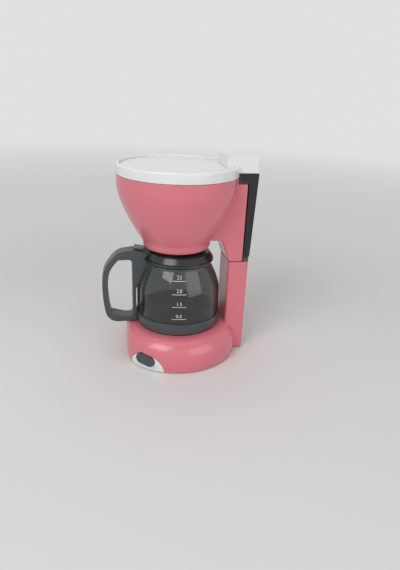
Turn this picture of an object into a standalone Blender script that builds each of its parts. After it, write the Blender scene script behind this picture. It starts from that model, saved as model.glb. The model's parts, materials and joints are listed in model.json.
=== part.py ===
"""Toy coffee maker: a battery toy drip machine with a lift-out jug and a rear water tank.

The model is in metres with +Z up. The front, where the jug comes out, faces -Y, and the
tower and the tank stand at +Y. The origin is on the floor under the middle of the lid.
"""
import math

import bmesh
import bpy
from mathutils import Matrix, Vector

# Shared values
GAP = 0.0003                # clearance between two pieces that touch
MARKER_SIZE = 0.010         # drawn size of the empties on the joints
OVERRUN = 0.004             # how far a cutter reaches past what it cuts
SEGMENTS = 32               # sides of the large turned shapes
SMALL_SEGMENTS = 16         # sides of screws, feet, cells and pipes
ARC_STEPS = 5               # steps in a drawn arc
FULL_TURN = math.radians(360)

# Base and column
AXIS_Y = 0.0025              # the jug, the plate and the base share this axis
BASE_RADIUS = 0.0612
BASE_FLOOR_Z = 0.001
BASE_BULGE_Z = 0.010        # the widest level of the base
BASE_TUCK = 0.0015          # how far the base draws in below the bulge
BASE_TOP_Z = 0.0315
BASE_SHOULDER = 0.0152      # the level top ends this far inside the base's radius
BASE_WALL = 0.0022
FRONT_DRAWN_WIDTH = 0.0162  # the outer part of the front that is drawn in
FRONT_DRAW_IN = 0.0082      # how far the front is drawn in
COLUMN_HALF_WIDTH = 0.018
COLUMN_FRONT_Y = 0.0495
COLUMN_REAR_Y = 0.0697
COLUMN_TOP_Z = 0.0975
COLUMN_CORNER = 0.0022
COLUMN_WALL = 0.002
BOSS_RADIUS = 0.0032
BOSS_PILOT_RADIUS = 0.0013
BOSS_PLACE_SHARES = ((-0.72, 0.10), (0.70, 0.30), (-0.13, -0.66))   # of the base radius

# Warming plate
PLATE_RADIUS = 0.041
PLATE_THICKNESS = 0.0024
PLATE_SEAT_DEPTH = 0.0018
PLATE_DISH = 0.0005
PLATE_RIM = 0.004

# Bottom cover, door and feet
COVER_THICKNESS = 0.0026
COVER_RISE = 0.0002         # the cover lies this far inside the rim of the base
FOOT_RADIUS = 0.005
FOOT_HEIGHT = 0.0015
FOOT_INSET = 0.0112         # from the edge of the base to the middle of a foot
FOOT_ANGLES = (45, 135, 225, 315)   # degrees
SCREW_HEAD_RADIUS = 0.0026
SCREW_HEAD_HEIGHT = 0.0012
SCREW_SHANK_RADIUS = 0.0010
SCREW_LENGTH = 0.010
DOOR_HEAD_HEIGHT = 0.0008

# Battery box
CELL_RADIUS = 0.0071
CELL_BODY = 0.049
CELL_NUB = 0.0012
CELL_NUB_RADIUS = 0.0027
CELL_PITCH = 0.015
BOX_X = -0.012              # middle of the battery box
BOX_Y = 0.001
BOX_HALF_WIDTH = 0.0152
BOX_SPRING_ROOM = 0.0068    # length left in the box for a spring and the contacts
BOX_WALL = 0.0016
BOX_INNER_TOP_Z = 0.0188
CELL_Z = 0.0112
DOOR_LEDGE = 0.0013
DOOR_THICKNESS = 0.0015
DOOR_TAB_HALF_WIDTH = 0.004
DOOR_TAB_LENGTH = 0.0065
DOOR_BOSS_RADIUS = 0.003
DOOR_BOSS_TOP_Z = 0.012
CONTACT_THICKNESS = 0.0005
CONTACT_LOW_Z = 0.0055
CONTACT_HIGH_Z = 0.0170
SPRING_RADIUS = 0.0032
SPRING_WIRE = 0.0004
SPRING_TURNS = 4
SPRING_POINTS = 8

# Switch on the corner of the base
SWITCH_ANGLE = 52           # degrees from the front towards +X
PANEL_HALF_WIDTH = 0.0185
PANEL_HEIGHT = 0.0155
PANEL_PROUD = 0.0004
PANEL_THICKNESS = 0.0016
BUTTON_LENGTH = 0.0200
BUTTON_WIDTH = 0.0098
BUTTON_Z = 0.0118
BUTTON_TILT = 8             # degrees, the end nearer the front is higher
BUTTON_PROUD = 0.0024
BUTTON_DEPTH = 0.0062
BUTTON_FLANGE = 0.0012
BUTTON_FLANGE_THICKNESS = 0.0010
BUTTON_TRAVEL = 0.0015
STEM_SIZE = 0.003
STEM_LENGTH = 0.0055
SWITCH_LENGTH = 0.012
SWITCH_DEPTH = 0.007
SWITCH_HEIGHT = 0.010
SWITCH_WALL = 0.0012

# Water pump in the base
MOTOR_X = 0.022
MOTOR_Z = 0.0130
MOTOR_RADIUS = 0.0078
MOTOR_START_Y = -0.013
MOTOR_LENGTH = 0.020
PUMP_RADIUS = 0.0085
PUMP_LENGTH = 0.009
PUMP_WALL = 0.0015
PORT_OFFSET = 0.0042
PORT_RADIUS = 0.0016
PORT_LENGTH = 0.004
SHAFT_RADIUS = 0.0009
SHAFT_SUNK = 0.005
SHAFT_REACH = 0.0055
VANES = 4
VANE_THICKNESS = 0.001
VANE_REACH = 0.0058
VANE_WIDTH = 0.0036
HUB_RADIUS = 0.0022
CRADLE_THICKNESS = 0.002
CRADLE_HALF_WIDTH = 0.0095
CRADLE_SHARES = (0.2, 0.8)  # places along the motor
HOSE_RADIUS = 0.0018
WIRE_RADIUS = 0.0006

# Bowl and tower, moulded as one piece
BOWL_RADIUS = 0.0570
BOWL_TOP_Z = 0.1804
BOWL_WAIST_Z = 0.1180
BOWL_WAIST_RADIUS = 0.0337
BOWL_BOTTOM_Z = 0.1113
BOWL_BOTTOM_RADIUS = 0.0312
BOWL_ROUND = 0.0022
BOWL_WALL = 0.002
BOWL_FLOOR = 0.002
BOWL_SHOULDER_Z = 0.170
TOWER_HALF_WIDTH = 0.018
TOWER_REAR_Y = 0.0634
TOWER_TOP_Z = 0.174
TOWER_NECK_Y = 0.0415       # where the underside of the neck meets its sloping front
TOWER_NECK_Z = 0.1195
TOWER_WALL = 0.002
TOWER_ROOT_Y = 0.025        # how far the tower reaches into the bowl
SPIGOT_DEPTH = 0.006
SPIGOT_WALL = 0.0015
SPIGOT_HALF_WIDTH = 0.013
SPIGOT_FRONT_Y = 0.0525
SPIGOT_REAR_Y = 0.0610
SPOUT_RADIUS = 0.0055
SPOUT_FLANGE = 0.002
SPOUT_BORE = 0.002
SPOUT_DROP = 0.0012

# Water tank
TANK_BOTTOM_REAR_Y = 0.0697
TANK_TOP_REAR_Y = 0.0730
TANK_TOP_Z = 0.1836
TANK_WALL = 0.0014
TANK_FOOT_HEIGHT = 0.0042
TANK_SHOULDER_Z = 0.1743
TANK_SHOULDER_FRONT_Y = 0.048
NIPPLE_RADIUS = 0.0015
NIPPLE_LENGTH = 0.005
NIPPLE_Y = 0.0655

# Lid
LID_SET_BACK = 0.0002       # the lid's side lies this far inside the bowl's
LID_RIM_Z = 0.1807
LID_TOP_Z = 0.190
LID_WALL = 0.0022
LID_ROUND = 0.0014
LID_RING = 0.0032           # width of the ring round the recess
LID_RECESS = 0.0018
LID_DISC_THICKNESS = 0.0018
LID_LEDGE = 0.003
LID_LIP_DEPTH = 0.004
TAIL_TOP_Z = 0.1984
TAIL_REAR_Y = 0.0732
TAIL_FRONT_Y = 0.042
TAIL_BOTTOM_Z = 0.1839
TAIL_ROUND = 0.0020

# Jug
JUG_RADIUS = 0.0418
JUG_WALL = 0.0016
JUG_SHOULDER_Z = 0.0680
JUG_NECK_Z = 0.0940
JUG_NECK_RADIUS = 0.0322
JUG_LIP_RADIUS = 0.0345
JUG_LIP_Z = 0.0985
JUG_TOP_Z = 0.1000
BAND_RADIUS = 0.0427
BAND_BOTTOM_Z = 0.0327
BAND_TOP_Z = 0.0432
BAND_WALL = 0.0017
BAND_FLOOR = 0.0012
BAND_SHELF = 0.006
JUG_FLOOR = 0.002
COLLAR_HEIGHT = 0.0062
COLLAR_RADIUS = 0.0350
COLLAR_TOP_RADIUS = 0.0300
COLLAR_HOLE_RADIUS = 0.0255
COLLAR_SKIRT = 0.004
COLLAR_SKIRT_WALL = 0.0014
COLLAR_STEP = 0.0022
JUG_LID_RISE = 0.0018
JUG_LID_HOLE = 0.0045
THUMB_LENGTH = 0.024
THUMB_HALF_WIDTH = 0.006
THUMB_THICKNESS = 0.0022
HANDLE_HALF_WIDTH = 0.0065
HANDLE_REACH = 0.0756       # from the jug axis to the outside of the grip
HANDLE_THICKNESS = 0.0055
HANDLE_STRAP = 0.0034
HANDLE_TOP_Z = 0.1086
HANDLE_BOTTOM_Z = 0.0327
HANDLE_EDGE = 0.0012
# Outside of the grip, top to bottom, as shares of its depth and of its height
HANDLE_CURVE_SHARES = ((0.07, 1.0), (0.53, 0.955), (0.88, 0.78), (0.99, 0.61), (1.0, 0.42), (0.965, 0.23),
                       (0.89, 0.09), (0.68, 0.01), (0.30, 0.0))

# Routes of the hoses between their ends
FEED_ROUTE = ((0.0120, 0.045, 0.012), (0.0040, 0.057, 0.018), (0.0010, 0.0625, 0.028), (0, 0.0648, 0.042),
              (0, 0.0655, 0.058), (0, 0.0655, 0.075))
RISE_ROUTE = ((0.0210, 0.044, 0.012), (0.0115, 0.0555, 0.020), (0.008, 0.0570, 0.045), (0.006, 0.0570, 0.075),
              (0.004, 0.0565, 0.098), (0.002, 0.0530, 0.116), (0, 0.0455, 0.1275), (0, 0.0370, 0.1280),
              (0, 0.0270, 0.1284), (0, 0.0120, 0.1270), (0, 0.0045, 0.1235))
WALL_PASS = 6               # the point of the rising hose just before the wall of the bowl

# Routes of the wires between their ends
RED_ROUTE = ((-0.0045, 0.0335, 0.0180), (0.0065, 0.0335, 0.0190), (0.0078, 0.0250, 0.0205),
             (0.0080, 0.010, 0.0215), (0.0085, -0.012, 0.0200), (0.0150, -0.023, 0.0160))
BLUE_ROUTE = ((0.0270, -0.0200, 0.0130),)
BLACK_ROUTE = ((-0.0010, 0.0330, 0.0130), (0.0065, 0.0325, 0.0115), (0.0070, 0.0240, 0.0090),
               (0.0070, 0.0080, 0.0080), (0.0075, -0.0080, 0.0080), (0.0120, -0.0175, 0.0095))

# Colours: red, green, blue, then roughness and metallic value
PINK = (0.86, 0.37, 0.45), 0.28, 0.0
WHITE = (0.87, 0.88, 0.87), 0.30, 0.0
GRAY = (0.17, 0.20, 0.21), 0.40, 0.0
BLACK = (0.02, 0.022, 0.024), 0.30, 0.0
SMOKE = (0.10, 0.12, 0.13), 0.10, 0.0
RUBBER = (0.05, 0.05, 0.05), 0.80, 0.0
STEEL = (0.60, 0.60, 0.62), 0.30, 1.0
CELL_GREEN = (0.10, 0.35, 0.20), 0.35, 0.0
HOSE_CLEAR = (0.75, 0.78, 0.78), 0.25, 0.0
WIRE_RED = (0.60, 0.04, 0.04), 0.45, 0.0
WIRE_BLACK = (0.03, 0.03, 0.03), 0.45, 0.0
WIRE_BLUE = (0.05, 0.12, 0.55), 0.45, 0.0


def collection(name):
    group = bpy.data.collections.new(name)
    bpy.context.scene.collection.children.link(group)
    return group


for old in list(bpy.data.objects):
    bpy.data.objects.remove(old, do_unlink=True)
PARTS = collection("toy_coffee_maker")
CUTTERS = collection("cutters")


def material(name, look):
    colour, roughness, metallic = look
    made = bpy.data.materials.new(name)
    made.use_nodes = True
    shader = made.node_tree.nodes["Principled BSDF"]
    shader.inputs["Base Color"].default_value = (*colour, 1.0)
    shader.inputs["Roughness"].default_value = roughness
    shader.inputs["Metallic"].default_value = metallic
    return made


def place(obj, group=None):
    """Moves an object into one collection and out of all others."""
    for owner in list(obj.users_collection):
        owner.objects.unlink(obj)
    (group or CUTTERS).objects.link(obj)
    return obj


def hidden(obj):
    """Marks an object as a cutter."""
    place(obj, CUTTERS)
    obj.hide_render = True
    obj.display_type = "WIRE"
    return obj


def solid_mesh(obj, name):
    """Turns an object with modifiers, or a curve, into a plain mesh object."""
    bpy.context.view_layer.update()
    graph = bpy.context.evaluated_depsgraph_get()
    mesh = bpy.data.meshes.new_from_object(obj.evaluated_get(graph))
    mesh.transform(obj.matrix_world)
    tidy = bmesh.new()
    tidy.from_mesh(mesh)
    bmesh.ops.remove_doubles(tidy, verts=tidy.verts, dist=GAP / 100)
    bmesh.ops.recalc_face_normals(tidy, faces=tidy.faces)
    tidy.to_mesh(mesh)
    tidy.free()
    made = bpy.data.objects.new(name, mesh)
    bpy.data.objects.remove(obj, do_unlink=True)
    return made


def turned(name, profile, segments=SEGMENTS, axis_y=0.0, closed=False):
    """A profile of (radius, height) points, top to bottom, swept round a vertical axis."""
    mesh = bpy.data.meshes.new(name + "_profile")
    count = len(profile)
    edges = [(i, i + 1) for i in range(count - 1)]
    if closed:
        edges.append((count - 1, 0))
    mesh.from_pydata([(radius, 0.0, height) for radius, height in profile], edges, [])
    obj = place(bpy.data.objects.new(name + "_profile", mesh))
    screw = obj.modifiers.new("turn", "SCREW")
    screw.angle = FULL_TURN
    screw.steps = segments
    screw.render_steps = segments
    screw.use_merge_vertices = True
    screw.merge_threshold = GAP / 10
    obj.location = (0.0, axis_y, 0.0)
    made = solid_mesh(obj, name)
    made.data.shade_smooth()
    made.data.set_sharp_from_angle(angle=math.radians(35))
    return made


def box(name, low, high, bevel=0.0):
    """A block between two corners, with rounded edges if bevel is given."""
    bpy.ops.mesh.primitive_cube_add(size=1.0)
    obj = bpy.context.active_object
    obj.name = name
    low, high = Vector(low), Vector(high)
    obj.data.transform(Matrix.Translation((low + high) / 2) @ Matrix.Diagonal((*(high - low), 1.0)))
    if bevel:
        round_edges(obj, bevel)
    return place(obj)


def round_edges(obj, width, segments=2, angle=40):
    bevel = obj.modifiers.new("round", "BEVEL")
    bevel.width = width
    bevel.segments = segments
    bevel.limit_method = "ANGLE"
    bevel.angle_limit = math.radians(angle)
    return obj


def rod(name, start, end, radius, segments=SMALL_SEGMENTS):
    """A cylinder between two points."""
    start, end = Vector(start), Vector(end)
    bpy.ops.mesh.primitive_cylinder_add(vertices=segments, radius=radius, depth=(end - start).length)
    obj = bpy.context.active_object
    obj.name = name
    turn = Vector((0, 0, 1)).rotation_difference(end - start).to_matrix().to_4x4()
    obj.data.transform(Matrix.Translation((start + end) / 2) @ turn)
    obj.data.shade_smooth()
    obj.data.set_sharp_from_angle(angle=math.radians(35))
    return place(obj)


def plate(name, outlines, thickness, frame=None):
    """A flat outline, with holes if more are given, made into a slab and set in a frame."""
    curve = bpy.data.curves.new(name + "_outline", "CURVE")
    curve.dimensions = "2D"
    curve.fill_mode = "BOTH"
    curve.extrude = thickness / 2
    for outline in outlines:
        spline = curve.splines.new("POLY")
        spline.points.add(len(outline) - 1)
        spline.use_cyclic_u = True
        for point, (x, y) in zip(spline.points, outline):
            point.co = (x, y, 0.0, 1.0)
    obj = place(bpy.data.objects.new(name + "_outline", curve))
    if frame is not None:
        obj.matrix_world = frame
    return solid_mesh(obj, name)


def rounded(corners, steps=ARC_STEPS):
    """A closed outline from (x, y, radius) corners, each corner drawn as an arc."""
    points = []
    count = len(corners)
    for index, (x, y, radius) in enumerate(corners):
        here = Vector((x, y))
        before = (Vector(corners[index - 1][:2]) - here).normalized()
        after = (Vector(corners[(index + 1) % count][:2]) - here).normalized()
        if not radius:
            points.append(tuple(here))
            continue
        half = before.angle(after) / 2
        centre = here + (before + after).normalized() * radius / math.sin(half)
        first = here + before * radius / math.tan(half) - centre
        last = here + after * radius / math.tan(half) - centre
        swing = first.angle_signed(last)
        for step in range(steps):
            turn = Matrix.Rotation(-swing * step / (steps - 1), 2)
            points.append(tuple(centre + turn @ first))
    return points


def tube(name, points, radius, sides=3):
    """A hose or a wire on a smooth route through points."""
    curve = bpy.data.curves.new(name + "_route", "CURVE")
    curve.dimensions = "3D"
    curve.bevel_depth = radius
    curve.bevel_resolution = sides
    curve.use_fill_caps = True
    spline = curve.splines.new("POLY")
    spline.points.add(len(points) - 1)
    for point, place_at in zip(spline.points, points):
        point.co = (*place_at, 1.0)
    return solid_mesh(place(bpy.data.objects.new(name + "_route", curve)), name)


def smooth_route(points, steps=3):
    """Points on a Catmull-Rom curve through the route's own points."""
    ends = [Vector(p) for p in points]
    ends = [ends[0] * 2 - ends[1]] + ends + [ends[-1] * 2 - ends[-2]]
    made = []
    for a, b, c, d in zip(ends, ends[1:], ends[2:], ends[3:]):
        for step in range(steps):
            t = step / steps
            made.append((b * 2 + (c - a) * t + (a * 2 - b * 5 + c * 4 - d) * t * t
                         + (b * 3 - a - c * 3 + d) * t * t * t) / 2)
    made.append(ends[-2])
    return made


def combine(obj, other, how):
    """A live Boolean; the other object becomes a hidden cutter."""
    hidden(other)
    step = obj.modifiers.new(how.lower(), "BOOLEAN")
    step.operation = how
    step.solver = "EXACT"
    step.object = other
    return obj


def cut(obj, *others):
    for other in others:
        combine(obj, other, "DIFFERENCE")
    return obj


def join(obj, *others):
    for other in others:
        combine(obj, other, "UNION")
    return obj


def part(obj, name, look):
    """Names a finished piece, gives it its material and puts it with the parts."""
    obj.name = name
    obj.data.materials.clear()
    obj.data.materials.append(look)
    return place(obj, PARTS)


def with_cutters(obj):
    """An object and every cutter that its Booleans use, at any depth."""
    found = [obj]
    for modifier in obj.modifiers:
        if modifier.type == "BOOLEAN":
            found += with_cutters(modifier.object)
    return found


def carry(name, location, *pieces):
    """Hangs pieces on an empty that stands on their joint's axis."""
    empty = bpy.data.objects.new(name, None)
    empty.empty_display_size = MARKER_SIZE
    empty.location = location
    place(empty, PARTS)
    bpy.context.view_layer.update()
    for piece in pieces:
        for obj in with_cutters(bpy.data.objects[piece]):
            obj.parent = empty
            obj.matrix_parent_inverse = empty.matrix_world.inverted()


PINK_ABS = material("pink_abs", PINK)
WHITE_ABS = material("white_abs", WHITE)
GRAY_ABS = material("gray_abs", GRAY)
BLACK_ABS = material("black_abs", BLACK)
SMOKE_CLEAR = material("smoked_clear", SMOKE)
RUBBER_PAD = material("rubber_pad", RUBBER)
STEEL_PLATE = material("steel_plate", STEEL)
CELL_SLEEVE = material("cell_sleeve", CELL_GREEN)
HOSE = material("clear_hose", HOSE_CLEAR)

BASE_TOP_FLAT = BASE_RADIUS - BASE_SHOULDER
FRONT_FLAT_START = BASE_RADIUS - FRONT_DRAWN_WIDTH
FRONT_REACH = BASE_RADIUS - FRONT_DRAW_IN
FOOT_REACH = BASE_RADIUS - FOOT_INSET
BOX_HALF_LENGTH = (CELL_BODY + CELL_NUB + BOX_SPRING_ROOM) / 2
LID_RADIUS = BOWL_RADIUS - LID_SET_BACK
COVER_LOW_Z = BASE_FLOOR_Z + COVER_RISE
COVER_TOP_Z = COVER_LOW_Z + COVER_THICKNESS
COVER_ROOT_Z = COVER_LOW_Z + COVER_THICKNESS / 2   # what stands on the cover starts inside it
SEAT_Z = BASE_TOP_Z - PLATE_SEAT_DEPTH
BASE_INNER_TOP_Z = SEAT_Z - BASE_WALL


def base_profile(inset, top_z, floor_z):
    """Half section of the base, drawn in by inset all round."""
    sweep = BASE_RADIUS - BASE_TOP_FLAT - inset
    points = [(0.0, top_z)]
    for step in range(ARC_STEPS + 2):
        angle = math.radians(90) * (1 - step / (ARC_STEPS + 1))
        points.append((BASE_TOP_FLAT + sweep * math.cos(angle),
                       BASE_BULGE_Z + (top_z - BASE_BULGE_Z) * math.sin(angle)))
    tuck_depth = BASE_BULGE_Z - BASE_FLOOR_Z
    for share in (0.5, 1.0):
        points.append((BASE_RADIUS - inset - BASE_TUCK * share ** 2, BASE_BULGE_Z - tuck_depth * share))
    if floor_z < BASE_FLOOR_Z:
        points.append((BASE_RADIUS - inset - BASE_TUCK, floor_z))
    points.append((0.0, floor_z))
    return points


def draw_in_front(obj, inset=0.0):
    """Flattens the front of a shape turned round the base's axis."""
    full = BASE_RADIUS - inset - FRONT_FLAT_START
    wanted = FRONT_REACH - inset - FRONT_FLAT_START
    bend = (full - wanted) / full ** 2
    for vertex in obj.data.vertices:
        over = AXIS_Y - vertex.co.y - FRONT_FLAT_START
        if over > 0:
            vertex.co.y = AXIS_Y - FRONT_FLAT_START - (over - bend * over ** 2)
    return obj


def base_solid(name, inset, top_z=BASE_TOP_Z, floor_z=BASE_FLOOR_Z):
    return draw_in_front(turned(name, base_profile(inset, top_z, floor_z), axis_y=AXIS_Y), inset)


def block_outline(half_width, front_y, rear_y, corner):
    return rounded([(-half_width, front_y, corner), (half_width, front_y, corner),
                    (half_width, rear_y, corner), (-half_width, rear_y, corner)], steps=4)


def upright(name, outline, low_z, high_z):
    """A slab with a level outline, from one height to another."""
    return plate(name, [outline], high_z - low_z, Matrix.Translation((0, 0, (low_z + high_z) / 2)))


# Directions at the switch: out of the base, along it and up
SWITCH_OUT = Vector((math.sin(math.radians(SWITCH_ANGLE)), -math.cos(math.radians(SWITCH_ANGLE)), 0.0))
SWITCH_ALONG = Vector((0, 0, 1)).cross(SWITCH_OUT)
SWITCH_RADIUS = BASE_RADIUS


def switch_frame(height, reach=0.0, tilt=0.0):
    """A frame whose X runs along the base, Y up and Z out of it at the switch."""
    along = SWITCH_ALONG * math.cos(math.radians(tilt)) - Vector((0, 0, math.sin(math.radians(tilt))))
    up = SWITCH_OUT.cross(along)
    turn = Matrix((along, up, SWITCH_OUT)).transposed().to_4x4()
    middle = Vector((0, AXIS_Y, height)) + SWITCH_OUT * reach
    return Matrix.Translation(middle) @ turn


def half_moon(grow):
    """The switch panel's outline: level below and arched above."""
    half = PANEL_HALF_WIDTH + grow
    low = COVER_LOW_Z - OVERRUN
    rise = PANEL_HEIGHT + grow
    points = [(-half, low), (half, low)]
    steps = ARC_STEPS * 2
    for step in range(steps + 1):
        angle = math.radians(180) * step / steps
        points.append((half * math.cos(angle), BASE_FLOOR_Z + rise * math.sin(angle) ** 0.8))
    return points


def stadium(length, width):
    half = (length - width) / 2
    points = []
    for side in (1, -1):
        for step in range(ARC_STEPS + 1):
            angle = math.radians(-90 + 180 * step / ARC_STEPS)
            points.append((side * (half + width / 2 * math.cos(angle)), side * width / 2 * math.sin(angle)))
    return points


def button_hole():
    return stadium(BUTTON_LENGTH + GAP * 2, BUTTON_WIDTH + GAP * 2)


def through_wall(name, outline, height=0.0, tilt=0.0):
    """A prism that passes right through the base's wall at the switch."""
    return plate(name, [outline], BASE_RADIUS / 2, switch_frame(height, SWITCH_RADIUS, tilt))


def make_base():
    body = base_solid("base_housing", 0.0)
    column = upright("column_outer", block_outline(COLUMN_HALF_WIDTH, COLUMN_FRONT_Y, COLUMN_REAR_Y,
                                                   COLUMN_CORNER), BASE_FLOOR_Z, COLUMN_TOP_Z)
    join(body, column)
    cut(body, base_solid("base_inner", BASE_WALL, BASE_INNER_TOP_Z, BASE_FLOOR_Z - OVERRUN))
    wall = COLUMN_WALL
    cut(body, box("column_inner",
                  (-COLUMN_HALF_WIDTH + wall, COLUMN_FRONT_Y + wall, BASE_FLOOR_Z - OVERRUN),
                  (COLUMN_HALF_WIDTH - wall, COLUMN_REAR_Y - wall, COLUMN_TOP_Z - wall)))
    cut(body, rod("plate_seat", (0, AXIS_Y, SEAT_Z), (0, AXIS_Y, BASE_TOP_Z + OVERRUN),
                  PLATE_RADIUS + GAP, SEGMENTS))
    cut(body, box("spigot_hole",
                  (-SPIGOT_HALF_WIDTH - GAP, SPIGOT_FRONT_Y - GAP, COLUMN_TOP_Z - COLUMN_WALL - OVERRUN),
                  (SPIGOT_HALF_WIDTH + GAP, SPIGOT_REAR_Y + GAP, COLUMN_TOP_Z + OVERRUN)))
    cut(body, rod("nipple_hole", (0, NIPPLE_Y, COLUMN_TOP_Z - COLUMN_WALL - OVERRUN),
                  (0, NIPPLE_Y, COLUMN_TOP_Z + OVERRUN), NIPPLE_RADIUS + GAP))
    cut(body, through_wall("panel_hole", half_moon(GAP)))
    cut(body, through_wall("base_button_hole", button_hole(), BUTTON_Z, BUTTON_TILT))
    for number, (x, y) in enumerate(boss_places(), 1):
        join(body, rod(f"boss_{number}", (x, y, COVER_TOP_Z + GAP),
                       (x, y, BASE_INNER_TOP_Z + BASE_WALL / 2), BOSS_RADIUS))
        cut(body, rod(f"pilot_{number}", (x, y, COVER_TOP_Z - OVERRUN),
                      (x, y, COVER_TOP_Z + SCREW_LENGTH + GAP), BOSS_PILOT_RADIUS))
    return part(body, "base_housing", PINK_ABS)


def make_plate():
    top = SEAT_Z + GAP + PLATE_THICKNESS
    inner = PLATE_RADIUS - PLATE_RIM
    profile = [(0.0, top - PLATE_DISH), (inner - PLATE_DISH, top - PLATE_DISH), (inner, top),
               (PLATE_RADIUS - PLATE_DISH, top), (PLATE_RADIUS, top - PLATE_DISH),
               (PLATE_RADIUS, SEAT_Z + GAP), (0.0, SEAT_Z + GAP)]
    return part(turned("warming_plate", profile, axis_y=AXIS_Y), "warming_plate", BLACK_ABS)


def door_outline_boxes(name, grow, low_z, high_z):
    """The door's plate and its screw tab, as two blocks."""
    half_x = BOX_HALF_WIDTH + DOOR_LEDGE + grow
    half_y = BOX_HALF_LENGTH + DOOR_LEDGE + grow
    tab = DOOR_TAB_HALF_WIDTH + grow
    end_y = BOX_Y + half_y
    return (box(name, (BOX_X - half_x, BOX_Y - half_y, low_z), (BOX_X + half_x, end_y, high_z)),
            box(name + "_tab", (BOX_X - tab, end_y - OVERRUN, low_z),
                (BOX_X + tab, end_y + DOOR_TAB_LENGTH, high_z)))


DOOR_SCREW_Y = BOX_Y + BOX_HALF_LENGTH + BOX_WALL + DOOR_BOSS_RADIUS - GAP


def boss_places():
    for x_share, y_share in BOSS_PLACE_SHARES:
        yield BASE_RADIUS * x_share, AXIS_Y + BASE_RADIUS * y_share


def foot_places():
    for degrees in FOOT_ANGLES:
        angle = math.radians(degrees)
        yield FOOT_REACH * math.cos(angle), AXIS_Y + FOOT_REACH * math.sin(angle)


def make_cover():
    radius = BASE_RADIUS - BASE_TUCK - BASE_WALL - GAP
    profile = [(0.0, COVER_TOP_Z), (radius, COVER_TOP_Z), (radius, COVER_LOW_Z), (0.0, COVER_LOW_Z)]
    cover = draw_in_front(turned("bottom_cover", profile, axis_y=AXIS_Y), BASE_WALL + BASE_TUCK + GAP)
    wall = COLUMN_WALL + GAP
    join(cover, box("cover_tongue", (-COLUMN_HALF_WIDTH + wall, COLUMN_FRONT_Y - OVERRUN, COVER_LOW_Z),
                    (COLUMN_HALF_WIDTH - wall, COLUMN_REAR_Y - wall, COVER_TOP_Z)))
    outer_x = BOX_HALF_WIDTH + BOX_WALL
    outer_y = BOX_HALF_LENGTH + BOX_WALL
    join(cover, box("battery_box", (BOX_X - outer_x, BOX_Y - outer_y, COVER_ROOT_Z),
                    (BOX_X + outer_x, BOX_Y + outer_y, BOX_INNER_TOP_Z + BOX_WALL)))
    join(cover, rod("door_boss", (BOX_X, DOOR_SCREW_Y, COVER_ROOT_Z), (BOX_X, DOOR_SCREW_Y, DOOR_BOSS_TOP_Z),
                    DOOR_BOSS_RADIUS))
    for number, share in enumerate(CRADLE_SHARES, 1):
        middle = MOTOR_START_Y + MOTOR_LENGTH * share
        cradle = box(f"cradle_{number}",
                     (MOTOR_X - CRADLE_HALF_WIDTH, middle - CRADLE_THICKNESS / 2, COVER_ROOT_Z),
                     (MOTOR_X + CRADLE_HALF_WIDTH, middle + CRADLE_THICKNESS / 2, MOTOR_Z))
        join(cover, cradle)
    length, depth, height = SWITCH_LENGTH, SWITCH_DEPTH, SWITCH_HEIGHT
    post = box("switch_post", (-length / 2, COVER_ROOT_Z - SWITCH_BODY_Z, -depth / 2),
               (length / 2, -height / 2 - GAP, depth / 2))
    post.data.transform(switch_frame(SWITCH_BODY_Z, SWITCH_BODY_REACH))
    join(cover, post)
    cut(cover, box("battery_space", (BOX_X - BOX_HALF_WIDTH, BOX_Y - BOX_HALF_LENGTH, COVER_LOW_Z - OVERRUN),
                   (BOX_X + BOX_HALF_WIDTH, BOX_Y + BOX_HALF_LENGTH, BOX_INNER_TOP_Z)))
    ledge_z = COVER_LOW_Z + DOOR_THICKNESS + GAP
    cut(cover, *door_outline_boxes("door_seat", 0.0, COVER_LOW_Z - OVERRUN, ledge_z))
    cut(cover, rod("door_pilot", (BOX_X, DOOR_SCREW_Y, COVER_LOW_Z - OVERRUN),
                   (BOX_X, DOOR_SCREW_Y, DOOR_BOSS_TOP_Z - BOX_WALL), BOSS_PILOT_RADIUS))
    for number, (x, y) in enumerate(boss_places(), 1):
        cut(cover, rod(f"cover_hole_{number}", (x, y, COVER_LOW_Z - OVERRUN),
                       (x, y, COVER_TOP_Z + GAP), BOSS_PILOT_RADIUS))
        cut(cover, rod(f"head_seat_{number}", (x, y, COVER_LOW_Z - OVERRUN),
                       (x, y, COVER_LOW_Z + SCREW_HEAD_HEIGHT + GAP), SCREW_HEAD_RADIUS + GAP))
    for number, (x, y) in enumerate(foot_places(), 1):
        cut(cover, rod(f"foot_seat_{number}", (x, y, COVER_LOW_Z - OVERRUN), (x, y, FOOT_HEIGHT + GAP),
                       FOOT_RADIUS + GAP))
    cut(cover, rod("motor_space", (MOTOR_X, MOTOR_START_Y - GAP, MOTOR_Z),
                   (MOTOR_X, MOTOR_START_Y + MOTOR_LENGTH + GAP, MOTOR_Z), MOTOR_RADIUS + GAP))
    return part(cover, "bottom_cover", WHITE_ABS)


def make_door():
    plate_box, tab_box = door_outline_boxes("battery_door", -GAP, COVER_LOW_Z, COVER_LOW_Z + DOOR_THICKNESS)
    join(plate_box, tab_box)
    cut(plate_box, rod("door_head_seat", (BOX_X, DOOR_SCREW_Y, COVER_LOW_Z - OVERRUN),
                       (BOX_X, DOOR_SCREW_Y, COVER_LOW_Z + DOOR_HEAD_HEIGHT + GAP),
                       SCREW_HEAD_RADIUS + GAP))
    cut(plate_box, rod("door_hole", (BOX_X, DOOR_SCREW_Y, COVER_LOW_Z - OVERRUN),
                       (BOX_X, DOOR_SCREW_Y, COVER_LOW_Z + OVERRUN), BOSS_PILOT_RADIUS))
    return part(plate_box, "battery_door", WHITE_ABS)


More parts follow.
